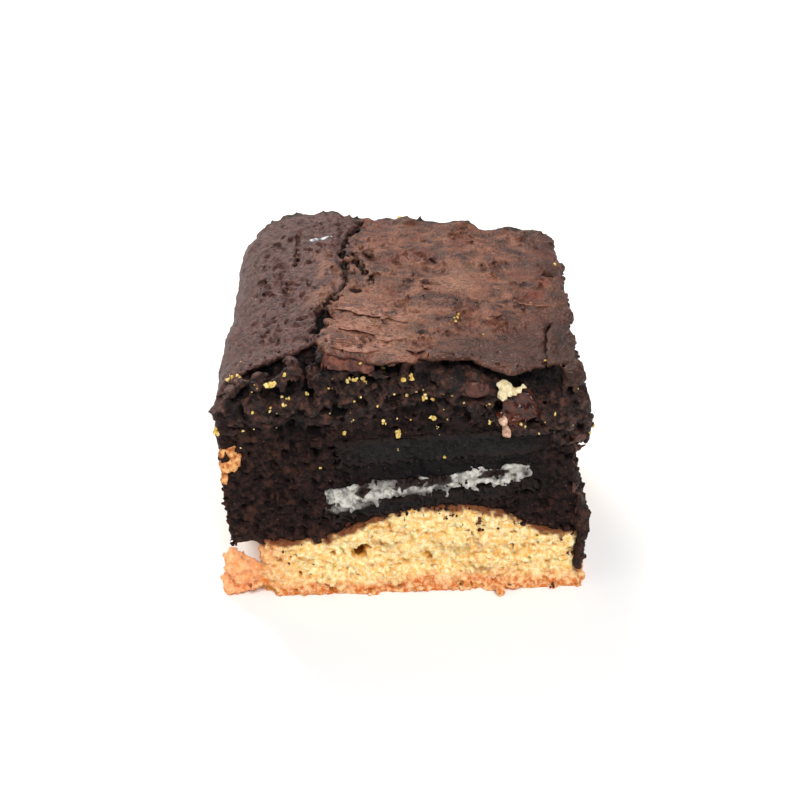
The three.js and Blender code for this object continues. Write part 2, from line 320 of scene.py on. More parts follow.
class Sponge:
    """A box of samples of a signed distance in millimetres, negative inside the food."""

    def __init__(self, xs: Array, ys: Array, zs: Array) -> None:
        """Sets the sample places along each axis, in millimetres.

        Args:
            xs: Sample places along x.
            ys: Sample places along y.
            zs: Sample places along z.
        """
        self.axes = tuple(np.asarray(a, np.float32) for a in (xs, ys, zs))
        self.x = self.axes[0][:, None, None]
        self.y = self.axes[1][None, :, None]
        self.z = self.axes[2][None, None, :]
        self.distance: Array = np.ones([len(a) for a in self.axes], np.float32)

    def noise(self, size: tuple[float, float, float], seed: int) -> Array:
        """Smooth noise from -1 to 1 on every sample.

        Args:
            size: Width of one bump along each axis, in millimetres.
            seed: Which pattern.

        Returns:
            One value for each sample.
        """
        rng = np.random.default_rng(seed)
        cells, parts = [], []
        for axis, step in zip(self.axes, size):
            place = (axis - axis[0]) / step + rng.random()
            cells.append(np.floor(place).astype(int))
            parts.append(smooth(place - cells[-1], 0, 1).astype(np.float32))
        values = rng.uniform(-1, 1, [c[-1] + 2 for c in cells]).astype(np.float32)
        for i, (cell, part) in enumerate(zip(cells, parts)):
            part = part.reshape([-1 if i == j else 1 for j in range(3)])
            values = np.take(values, cell, i) * (1 - part) + np.take(values, cell + 1, i) * part
        return values

    def lump(self, centre: Any, radii: Any, rough: Array, depth: float, join: bool) -> None:
        """Joins an uneven lump to the food, or carves its room out.

        Args:
            centre: Middle of the lump in millimetres.
            radii: Half sizes along the axes.
            rough: Noise on every sample that makes the lump uneven.
            depth: How deep the unevenness is, as a share of the smallest half size.
            join: True to join, False to carve.
        """
        reach = [r * (1.15 + depth) + 0.3 for r in radii]
        spans = [np.searchsorted(a, (c - r, c + r)) for a, c, r in zip(self.axes, centre, reach)]
        window = tuple(slice(*s) for s in spans)
        if any(s[0] == s[1] for s in spans):
            return
        gx, gy, gz = ((a[w] - c) / r for a, w, c, r in zip(self.axes, window, centre, radii))
        far = np.sqrt(gx[:, None, None] ** 2 + gy[None, :, None] ** 2 + gz[None, None, :] ** 2)
        least = min(radii)
        lump = (far - 1.0) * least + depth * least * rough[window]
        part = self.distance[window]
        if join:
            near = np.maximum(0.3 * least - np.abs(part - lump), 0.0)
            part[...] = np.minimum(part, lump) - near * near / (1.2 * least)
        else:
            np.maximum(part, -lump, out=part)

    def soften(self, share: Array) -> None:
        """Wears off spikes that are thinner than a sample.

        Args:
            share: How far each sample goes to its neighbours' mean, 0 to 1.
        """
        d = self.distance
        around = sum(np.roll(d, step, axis) for axis in range(3) for step in (-1, 1)) / 6
        inner = (slice(1, -1),) * 3
        d[inner] = mix(d[inner], around[inner], share[inner])

    def holds(self, *spot: float) -> bool:
        """Whether there is food at x, y and z."""
        place = (min(int(np.searchsorted(a, v)), len(a) - 1) for a, v in zip(self.axes, spot))
        return bool(self.distance[tuple(place)] < 0)

    def reach(self, face: int) -> Any:
        """A function that finds the outermost food on a side face.

        Args:
            face: 0 for the front, 1 for the right side, 2 for the back.

        Returns:
            A function of a place along the face and a height, which gives x and y or None.
        """
        inside = self.distance < 0
        axis = 0 if face == 1 else 1
        if face:
            inside = np.flip(inside, axis)
        first = inside.argmax(axis)
        found = inside.any(axis)
        along, out = self.axes[1 - axis], self.axes[axis]
        out = out[::-1] if face else out

        def find(u: float, z: float) -> tuple[float, float] | None:
            """Gives x and y of the outermost food at a place and height.

            Args:
                u: Place along the face, in millimetres.
                z: Height.

            Returns:
                The x and y, or None where there is no food.
            """
            i = int(np.clip(np.searchsorted(along, u), 0, len(along) - 1))
            k = int(np.clip(np.searchsorted(self.axes[2], z), 0, len(self.axes[2]) - 1))
            if not found[i, k]:
                return None
            place = float(out[first[i, k]])
            return (place, u) if axis == 0 else (u, place)

        return find

    def at(self, values: Array, points: Array) -> Array:
        """Values on the samples, read off at other points between them.

        Args:
            values: One value for each sample.
            points: Points to read at, one in each row.

        Returns:
            One value for each point.
        """
        cells, parts = [], []
        for axis, place in zip(self.axes, points.T):
            cell = np.clip(np.searchsorted(axis, place) - 1, 0, len(axis) - 2)
            cells.append(cell)
            parts.append((place - axis[cell]) / (axis[cell + 1] - axis[cell]))
        total = np.zeros(len(points))
        for corner in range(8):
            steps = [corner & 1, corner >> 1 & 1, corner >> 2 & 1]
            weight = np.ones(len(points))
            for part, step in zip(parts, steps):
                weight = weight * (part if step else 1.0 - part)
            total += weight * values[tuple(c + s for c, s in zip(cells, steps))]
        return total

    def skin(self) -> Skin:
        """The surface where the distance is nought, with one point in each cell it crosses.

        Returns:
            The surface's points and faces.
        """
        f = self.distance
        inside = f < 0
        count = inside.astype(np.int8)
        count = count[:-1] + count[1:]
        count = count[:, :-1] + count[:, 1:]
        count = count[:, :, :-1] + count[:, :, 1:]
        crossed = (count > 0) & (count < 8)
        cells = np.nonzero(crossed)
        number = np.full(crossed.shape, -1, np.int32)
        number[cells] = np.arange(len(cells[0]))
        corners = [(a, b, c) for a in (0, 1) for b in (0, 1) for c in (0, 1)]
        value = {s: f[tuple(i + j for i, j in zip(cells, s))] for s in corners}
        total = np.zeros((len(cells[0]), 3))
        hits = np.zeros(len(cells[0]))
        for s in corners:
            for axis in range(3):
                if s[axis]:
                    continue
                e = tuple(1 if i == axis else v for i, v in enumerate(s))
                cut = (value[s] < 0) != (value[e] < 0)
                t = value[s][cut] / (value[s][cut] - value[e][cut])
                for i in range(3):
                    total[cut, i] += t if i == axis else s[i]
                hits += cut
        part = total / hits[:, None]
        points = np.stack(
            [a[c] + p * (a[c + 1] - a[c]) for a, c, p in zip(self.axes, cells, part.T)], axis=1
        )
        faces = []
        for axis in range(3):
            u, v = (axis + 1) % 3, (axis + 2) % 3
            low = [slice(1, -1)] * 3
            high = [slice(1, -1)] * 3
            low[axis], high[axis] = slice(None, -1), slice(1, None)
            a, b = inside[tuple(low)], inside[tuple(high)]
            at = np.nonzero(a != b)
            out = a[at]
            at = [c + (0 if i == axis else 1) for i, c in enumerate(at)]
            ring = []
            for du, dv in ((1, 1), (0, 1), (0, 0), (1, 0)):
                spot = list(at)
                spot[u] = spot[u] - du
                spot[v] = spot[v] - dv
                ring.append(number[tuple(spot)])
            quad = np.stack(ring, axis=1)
            quad[~out] = quad[~out][:, ::-1]
            faces.append(quad)
        return Skin(points, np.concatenate(faces))


def make_piece(name: str, points: Array, faces: Array, masks: dict[str, Array]) -> Any:
    """Makes a smooth-shaded mesh object from arrays.

    Args:
        name: Name of the piece.
        points: Places in the sizes' own millimetres, before the shift to the frame.
        faces: Point numbers, one row a face.
        masks: One value a point under each attribute's name.

    Returns:
        The new object, linked to the scene.
    """
    mesh = bpy.data.meshes.new(name)
    mesh.vertices.add(len(points))
    mesh.vertices.foreach_set("co", ((points + SHIFT) * MM).astype(np.float32).ravel())
    mesh.loops.add(faces.size)
    mesh.loops.foreach_set("vertex_index", faces.astype(np.int32).ravel())
    mesh.polygons.add(len(faces))
    starts = np.arange(0, faces.size, faces.shape[1], dtype=np.int32)
    mesh.polygons.foreach_set("loop_start", starts)
    mesh.update(calc_edges=True)
    mesh.validate()
    mesh.shade_smooth()
    for key, values in masks.items():
        layer = mesh.attributes.new(key, "FLOAT", "POINT")
        layer.data.foreach_set("value", np.asarray(values, np.float32))
    piece = bpy.data.objects.new(name, mesh)
    bpy.context.collection.objects.link(piece)
    return piece


def settle(piece: Any, slot: str, material: Any, *nodes: str) -> None:
    """Gives a piece its material and body, and hides the solids that it stands for.

    Args:
        piece: Mesh object to finish.
        slot: Name of a material slot; not used.
        material: Built material.
        nodes: Solids that the piece takes the place of, if any.
    """
    piece.data.materials.append(material)
    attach(piece, "root")
    if nodes:
        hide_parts(*nodes)
    LOG.info("%s: %d faces", piece.name, len(piece.data.polygons))


# Finishes


def add(tree: Any, kind: str, inputs: dict | None = None, out: Any = 0, **props: Any) -> Any:
    """Adds a shader node with its settings and links.

    Args:
        tree: Node tree that it goes in.
        kind: Node type without its ShaderNode prefix, such as Mix.
        inputs: A socket to link, a hex colour or a plain value for each input.
        out: Name or number of the output to give back.
        **props: The node's own settings.

    Returns:
        That output, or None for a node that has none.
    """
    node = tree.nodes.new("ShaderNode" + kind)
    for key, value in props.items():
        setattr(node, key, value)
    for key, value in (inputs or {}).items():
        if isinstance(value, bpy.types.NodeSocket):
            tree.links.new(value, node.inputs[key])
        else:
            node.inputs[key].default_value = linear(value) if isinstance(value, str) else value
    return node.outputs[out] if node.outputs else None


class Canvas:
    """The node tree of one material, with patterns whose sizes are in millimetres."""

    def __init__(self, name: str) -> None:
        """Starts an empty material of that name.

        Args:
            name: Name of the material.
        """
        self.material = bpy.data.materials.new(name)
        self.material.use_nodes = True
        self.tree = self.material.node_tree
        self.tree.nodes.clear()
        self.place = add(self.tree, "TexCoord", out="Object")

    def pattern(
        self,
        size: float,
        low: float = 0.35,
        high: float = 0.65,
        stretch: tuple[float, float, float] = (1, 1, 1),
        detail: float = 3.0,
        shift: float = 0.0,
    ) -> Any:
        """Uneven patches as wide as something real.

        Args:
            size: Width of one patch in millimetres.
            low: Noise level that gives 0.
            high: Noise level that gives 1.
            stretch: How many times longer the patches are along each axis.
            detail: How many finer levels the patches have.
            shift: Moves the pattern, so that two of one size differ.

        Returns:
            A socket with values from 0 to 1.
        """
        scale = tuple(1000.0 / size / s for s in stretch)
        spot = {"Vector": self.place, "Scale": scale, "Location": (shift, 1.7 * shift, 0)}
        noise = {"Vector": add(self.tree, "Mapping", spot), "Scale": 1.0, "Detail": detail}
        level = add(self.tree, "TexNoise", noise | {"Roughness": 0.6})
        limits = {0: level, 1: low, 2: high}
        return add(self.tree, "MapRange", limits, interpolation_type="SMOOTHSTEP")


OVER = {"data_type": "RGBA"}  # settings of a Mix node that lays one colour over another


@dataclass(frozen=True)
class FudgeAndCrust:
    """Baked brownie: moist cocoa crumb where cut, a dry papery sugar crust on top."""

    crumb_dark: str = "#0e0706"
    crumb_mid: str = "#341d17"
    # the two reds go on proud lumps: ruddy clumps of the crumb, lightened there as a painted
    # highlight
    crumb_red: str = "#482a20"
    rich_dark: str = "#170c0a"
    rich_mid: str = "#38211a"
    rich_red: str = "#5e3a2e"
    # light specks of sugar and fat, partly painted glints
    speck: str = "#8a6552"
    char: str = "#151011"
    # painted shade in the creases between crumbs
    crease_shade: str = "#080404"
    plate_dark: str = "#45271e"
    plate_light: str = "#98624a"
    # painted sheen on the fine wrinkles, and painted sparkle
    plate_sheen: str = "#c08b6f"
    plate_deep: str = "#49271d"
    plate_spot: str = "#3d251f"
    plate_rust: str = "#7d4230"
    pan_dark: str = "#462b28"
    pan_light: str = "#704a43"
    pan_ruddy: str = "#93654f"
    wall_dark: str = "#3a2521"
    wall_light: str = "#64463d"
    torn: str = "#7d402e"
    # painted shade in the recesses of the cut face
    hollow_shade: str = "#0c0706"
    ior: float = 1.45  # fat and sugar: the moist crumb glints softly
    metallic: float = 0.0
    wet: float = 0.36  # roughness of moist patches, which gives small sharp glints
    dry: float = 0.78  # roughness of open crumb, which looks matt
    crust_rough: float = 0.48  # set sugar skin: a broad satin sheen

    def crumb(self, canvas: Canvas, masks: dict[str, Any]) -> Any:
        """Colour of the cut crumb: near black low down, warmer and redder near the top.

        Args:
            canvas: Material that the colour goes in.
            masks: Sockets of the masks measured on the mesh.

        Returns:
            The colour socket.
        """
        t, pattern = canvas.tree, canvas.pattern
        # Single crumbs are about 0.7 mm, clumps of like colour about 1.5 mm
        grains = pattern(0.7, 0.38, 0.64, detail=4.0)
        clumps = pattern(1.5, 0.45, 0.64, detail=4.0, shift=4)
        # Red clumps show only on lumps that stand out: partly the crumb's own ruddy colour, partly
        # a painted highlight on the lump tops
        high = add(t, "MapRange", {0: masks["proud"], 1: -0.5, 2: 0.3})
        ruddy = add(t, "Math", {0: clumps, 1: high}, operation="MULTIPLY")
        low = add(t, "Mix", {0: grains, 6: self.crumb_dark, 7: self.crumb_mid}, 2, **OVER)
        low = add(t, "Mix", {0: ruddy, 6: low, 7: self.crumb_red}, 2, **OVER)
        up = add(t, "Mix", {0: grains, 6: self.rich_dark, 7: self.rich_mid}, 2, **OVER)
        up = add(t, "Mix", {0: ruddy, 6: up, 7: self.rich_red}, 2, **OVER)
        colour = add(t, "Mix", {0: masks["rich"], 6: low, 7: up}, 2, **OVER)
        colour = add(t, "Mix", {0: masks["char"], 6: colour, 7: self.char}, 2, **OVER)
        # Tiny light specks of sugar and fat, partly painted glints
        specks = pattern(0.45, 0.66, 0.76, shift=11)
        colour = add(t, "Mix", {0: specks, 6: colour, 7: self.speck}, 2, **OVER)
        # Creases between crumbs are painted near black: painted shade
        colour = add(t, "Mix", {0: masks["crease_shade"], 6: colour, 7: self.crease_shade}, 2, **OVER)
        # Recesses well inside the plain shape are painted near black: painted shade
        inward = {0: masks["proud"], 1: -0.7, 2: -2.2}
        deep = add(t, "MapRange", inward, interpolation_type="SMOOTHSTEP")
        return add(t, "Mix", {0: deep, 6: colour, 7: self.hollow_shade}, 2, **OVER)

    def plate(self, canvas: Canvas, masks: dict[str, Any], streak: Any, fibre: Any) -> Any:
        """Colour of the top crust on both sides of the crack.

        Args:
            canvas: Material that the colour goes in.
            masks: Sockets of the masks measured on the mesh.
            streak: Pattern of the wrinkles.
            fibre: Pattern of the finest wrinkles.

        Returns:
            The colour socket.
        """
        t, pattern = canvas.tree, canvas.pattern
        # Where the mask is high the fine wrinkles get a painted sheen; below nought the crust is
        # painted darker
        sheen_and_tone = add(t, "MapRange", {0: masks["sheen_and_tone"], 1: 0.1, 2: 1.0})
        fine = add(t, "MapRange", {0: fibre, 3: 0.25, 4: 0.95})
        painted_sheen = add(t, "Math", {0: sheen_and_tone, 1: fine}, operation="MULTIPLY")
        dull = add(t, "MapRange", {0: masks["sheen_and_tone"], 1: -0.1, 2: -0.9, 4: 0.85})
        rust = add(t, "MapRange", {0: pattern(6.0, 0.5, 0.66, (1.4, 1, 1), shift=8), 4: 0.7})
        # Tiny dark specks: painted shade of small pits in the crust
        pit_shade_specks = add(t, "MapRange", {0: pattern(0.55, 0.57, 0.67, shift=13), 4: 0.75})
        # Tiny light specks on the crust: painted sparkle
        painted_sparkle = add(t, "MapRange", {0: pattern(0.45, 0.58, 0.68, shift=14), 4: 0.45})
        plate = add(t, "Mix", {0: streak, 6: self.plate_dark, 7: self.plate_light}, 2, **OVER)
        spots = pattern(3.0, 0.58, 0.7, (1.5, 1, 1), 2.0, 2)
        for share, code in (
            (rust, self.plate_rust), (painted_sheen, self.plate_sheen), (dull, self.plate_deep),
            (pit_shade_specks, self.plate_spot), (spots, self.plate_spot), (painted_sparkle, self.plate_sheen),
            (masks["bare"], self.torn),
        ):
            plate = add(t, "Mix", {0: share, 6: plate, 7: code}, 2, **OVER)
        mottle = pattern(1.1, shift=6)
        side = add(t, "Mix", {0: mottle, 6: self.pan_dark, 7: self.pan_light}, 2, **OVER)
        blotches = pattern(3.4, 0.44, 0.6, (1, 2, 1), shift=7)
        ruddy = add(t, "Math", {0: blotches, 1: sheen_and_tone}, operation="MULTIPLY")
        side = add(t, "Mix", {0: ruddy, 6: side, 7: self.pan_ruddy}, 2, **OVER)
        drag = pattern(0.9, 0.34, 0.68, (1, 1, 4), shift=15)
        baked = add(t, "Mix", {0: drag, 6: self.wall_dark, 7: self.wall_light}, 2, **OVER)
        side = add(t, "Mix", {0: masks["wall"], 6: side, 7: baked}, 2, **OVER)
        # The left crust gets the dark pit specks and the painted sparkle too
        for share, code in ((pit_shade_specks, self.plate_spot), (painted_sparkle, self.pan_ruddy)):
            side = add(t, "Mix", {0: share, 6: side, 7: code}, 2, **OVER)
        return add(t, "Mix", {0: masks["pan"], 6: plate, 7: side}, 2, **OVER)

    def material(self) -> Any:
        """Builds the material.

        Returns:
            The material.
        """
        canvas = Canvas("baked_fudge_and_sugar_crust")
        t, pattern = canvas.tree, canvas.pattern
        names = ("crust", "pan", "proud", "crease_shade", "char", "sheen_and_tone", "bare", "rich", "wall")
        masks = {name: add(t, "Attribute", out="Fac", attribute_name=name) for name in names}
        # The sugar skin shrank into low mounds about 3 mm wide, longer across the square
        streak = pattern(2.8, 0.35, 0.66, (1.4, 1, 1), 6.0)
        fibre = pattern(0.5, 0.3, 0.7, (1.4, 1, 1), shift=9)
        crumb = self.crumb(canvas, masks)
        plate = self.plate(canvas, masks, streak, fibre)
        colour = add(t, "Mix", {0: masks["crust"], 6: crumb, 7: plate}, 2, **OVER)
        glints = pattern(1.3, 0.56, 0.68, shift=3)
        moist = add(t, "Math", {0: glints, 1: masks["rich"]}, operation="ADD")
        moist = add(t, "MapRange", {0: moist, 2: 1.6, 3: self.dry, 4: self.wet})
        rough = add(t, "Mix", {0: masks["crust"], 2: moist, 3: self.crust_rough})
        shine = add(t, "Math", {0: masks["crust"], 1: masks["rich"]}, operation="MAXIMUM")
        shine = add(t, "MapRange", {0: shine, 3: 0.22, 4: 0.42})
        pores = pattern(0.5, 0.25, 0.75, detail=4.0)
        relief = add(t, "Bump", {"Strength": 1.0, "Distance": 0.35 * MM, "Height": pores})
        folds = add(t, "Math", {0: streak, 1: fibre}, operation="ADD")
        folds = add(t, "Math", {0: folds, 1: masks["crust"]}, operation="MULTIPLY")
        wrinkles = {"Strength": 1.0, "Distance": 0.14 * MM, "Height": folds, "Normal": relief}
        relief = add(t, "Bump", wrinkles)
        surface = {"Base Color": colour, "Roughness": rough, "Normal": relief, "IOR": self.ior}
        surface |= {"Metallic": self.metallic, "Specular IOR Level": shine}
        add(t, "OutputMaterial", {"Surface": add(t, "BsdfPrincipled", surface)})
        return canvas.material


@dataclass(frozen=True)
class BakedCookie:
    """Baked cookie dough: open, dry, pale yellow crumb, browned where it met the tin."""

    crumb: str = "#f2c777"
    gold: str = "#e8a94c"
    light: str = "#ffeab8"
    # The next three colours are painted shade in creases, pits and holes
    crease_shade: str = "#e0983c"
    deep: str = "#e0a550"
    hollow_shade: str = "#8a4a0c"
    browned: str = "#d0712b"
    browned_light: str = "#fbcb96"
    rosy: str = "#ffb07c"
    stained: str = "#6e3517"
    ior: float = 1.45  # flour and butter
    metallic: float = 0.0
    rough: float = 0.85  # dry crumb: no shine
    glow: float = 0.4  # light passes a millimetre into the dough and warms its pores

    def material(self) -> Any:
        """Builds the material.

        Returns:
            The material.
        """
        canvas = Canvas("baked_cookie_dough")
        t, pattern = canvas.tree, canvas.pattern
        names = ("proud", "crease_shade", "browned", "stain", "rosy")
        proud, crease_shade, browned, stain, rosy = (
            add(t, "Attribute", out="Fac", attribute_name=name) for name in names
        )
        # Granules of dough are about 0.8 mm
        granules = pattern(0.8, 0.36, 0.64)
        blotches = pattern(3.0, 0.4, 0.66, shift=12)
        golden = add(t, "Mix", {0: blotches, 6: self.crumb, 7: self.gold}, 2, **OVER)
        pale = add(t, "Mix", {0: granules, 6: golden, 7: self.light}, 2, **OVER)
        patches = pattern(1.0, 0.38, 0.66, shift=5)
        brown = add(t, "Mix", {0: patches, 6: self.browned, 7: self.browned_light}, 2, **OVER)
        colour = add(t, "Mix", {0: browned, 6: pale, 7: brown}, 2, **OVER)
        blush = add(t, "MapRange", {0: pattern(1.2, 0.3, 0.6, shift=8), 3: 0.95, 4: 0.3})
        blush = add(t, "Math", {0: rosy, 1: blush}, operation="MULTIPLY")
        # Creases, pits and holes are painted deeper yellow to brown: painted shade
        pit_shade = add(t, "MapRange", {0: proud, 1: -0.3, 2: -1.4}, interpolation_type="SMOOTHSTEP")
        hole_shade = add(t, "MapRange", {0: proud, 1: -1.4, 2: -2.6}, interpolation_type="SMOOTHSTEP")
        seam = add(t, "MapRange", {0: crease_shade, 4: 0.28})
        for share, code in (
            (blush, self.rosy), (seam, self.crease_shade), (pit_shade, self.deep), (hole_shade, self.hollow_shade),
            (stain, self.stained),
        ):
            colour = add(t, "Mix", {0: share, 6: colour, 7: code}, 2, **OVER)
        pores = pattern(0.45, 0.25, 0.75, detail=4.0)
        bumps = {"Strength": 1.0, "Distance": 0.16 * MM, "Height": pores}
        surface = {"Base Color": colour, "Roughness": self.rough, "Normal": add(t, "Bump", bumps)}
        surface |= {"IOR": self.ior, "Metallic": self.metallic, "Specular IOR Level": 0.3}
        surface |= {"Subsurface Weight": self.glow, "Subsurface Scale": 1.0 * MM}
        add(t, "OutputMaterial", {"Surface": add(t, "BsdfPrincipled", surface)})
        return canvas.material


@dataclass(frozen=True)
class BlackBiscuit:
    """Baked black cocoa biscuit: dry, close-grained and charcoal, crumb-smeared at its edge."""

    dark: str = "#080606"
    light: str = "#1b1716"
    fleck: str = "#382d29"
    smear: str = "#1e120f"
    cream: str = "#8d8882"
    ior: float = 1.45  # cocoa and sugar
    metallic: float = 0.0
    rough: float = 0.68  # close-grained and dry: a faint dull sheen

    def material(self) -> Any:
        """Builds the material.

        Returns:
            The material.
        """
        canvas = Canvas("black_cocoa_biscuit")
        t, pattern = canvas.tree, canvas.pattern
        names = ("smear", "pale")
        smeared, pale = (add(t, "Attribute", out="Fac", attribute_name=name) for name in names)
        colour = add(t, "Mix", {0: pattern(0.8, 0.3, 0.7), 6: self.dark, 7: self.light}, 2, **OVER)
        # Pale flecks of sugar and broken crumb, about 0.4 mm
        flecks = pattern(0.4, 0.6, 0.72, shift=3)
        for share, code in ((flecks, self.fleck), (smeared, self.smear), (pale, self.cream)):
            colour = add(t, "Mix", {0: share, 6: colour, 7: code}, 2, **OVER)
        pores = pattern(0.4, 0.2, 0.8, detail=4.0)
        bumps = {"Strength": 1.0, "Distance": 0.2 * MM, "Height": pores}
        surface = {"Base Color": colour, "Roughness": self.rough, "Normal": add(t, "Bump", bumps)}
        surface |= {"IOR": self.ior, "Metallic": self.metallic, "Specular IOR Level": 0.3}
        add(t, "OutputMaterial", {"Surface": add(t, "BsdfPrincipled", surface)})
        return canvas.material


@dataclass(frozen=True)
class SugarCream:
    """Sugar and fat cream: dry and chalky, grey in patches and stained brown by the crumb round it,
    with painted shade towards the wafers.
    """

    white: str = "#d3cfc6"
    grey: str = "#8b8781"
    shade: str = "#56514d"
    brown: str = "#2c1e1a"
    ior: float = 1.45  # sugar in fat
    metallic: float = 0.0
    rough: float = 0.75  # chalky
    glow: float = 0.05  # hardly lets light in

    def material(self) -> Any:
        """Builds the material.

        Returns:
            The material.
        """
        canvas = Canvas("sugar_cream")
        t, pattern = canvas.tree, canvas.pattern
        names = ("cream_shade", "smear")
        cream_shade, smear = (add(t, "Attribute", out="Fac", attribute_name=name) for name in names)
        chalk = pattern(1.5, 0.42, 0.66)
        colour = add(t, "Mix", {0: chalk, 6: self.white, 7: self.grey}, 2, **OVER)
        # Painted shade towards the wafers above and below the cream
        colour = add(t, "Mix", {0: cream_shade, 6: colour, 7: self.shade}, 2, **OVER)
        colour = add(t, "Mix", {0: smear, 6: colour, 7: self.brown}, 2, **OVER)
        bumps = {"Strength": 1.0, "Distance": 0.25 * MM, "Height": pattern(0.5, 0.2, 0.8)}
        surface = {"Base Color": colour, "Roughness": self.rough, "Normal": add(t, "Bump", bumps)}
        surface |= {"IOR": self.ior, "Metallic": self.metallic}
        surface |= {"Subsurface Weight": self.glow, "Subsurface Scale": 0.8 * MM}
        add(t, "OutputMaterial", {"Surface": add(t, "BsdfPrincipled", surface)})
        return canvas.material


@dataclass(frozen=True)
class PlainFood:
    """Food in two shades: loose baked crumb is dry and rough, melted chocolate wet and smooth."""

    name: str
    dark: str
    light: str
    rough: float = 0.8  # dry crumb looks matt
    patch: float = 0.8  # width of one patch of colour in millimetres
    relief: float = 0.12  # height of the fine bumps in millimetres
    shine: float = 0.3
    ior: float = 1.45  # fat, sugar and cocoa butter
    metallic: float = 0.0

    def material(self) -> Any:
        """Builds the material.

        Returns:
            The material.
        """
        canvas = Canvas(self.name)
        t, pattern = canvas.tree, canvas.pattern
        shades = {0: pattern(self.patch, 0.36, 0.66), 6: self.dark, 7: self.light}
        colour = add(t, "Mix", shades, 2, **OVER)
        pores = pattern(0.45 * self.patch, 0.2, 0.8)
        bumps = {"Strength": 1.0, "Distance": self.relief * MM, "Height": pores}
        surface = {"Base Color": colour, "Roughness": self.rough, "Normal": add(t, "Bump", bumps)}
        surface |= {"IOR": self.ior, "Metallic": self.metallic, "Specular IOR Level": self.shine}
        add(t, "OutputMaterial", {"Surface": add(t, "BsdfPrincipled", surface)})
        return canvas.material


# Layers


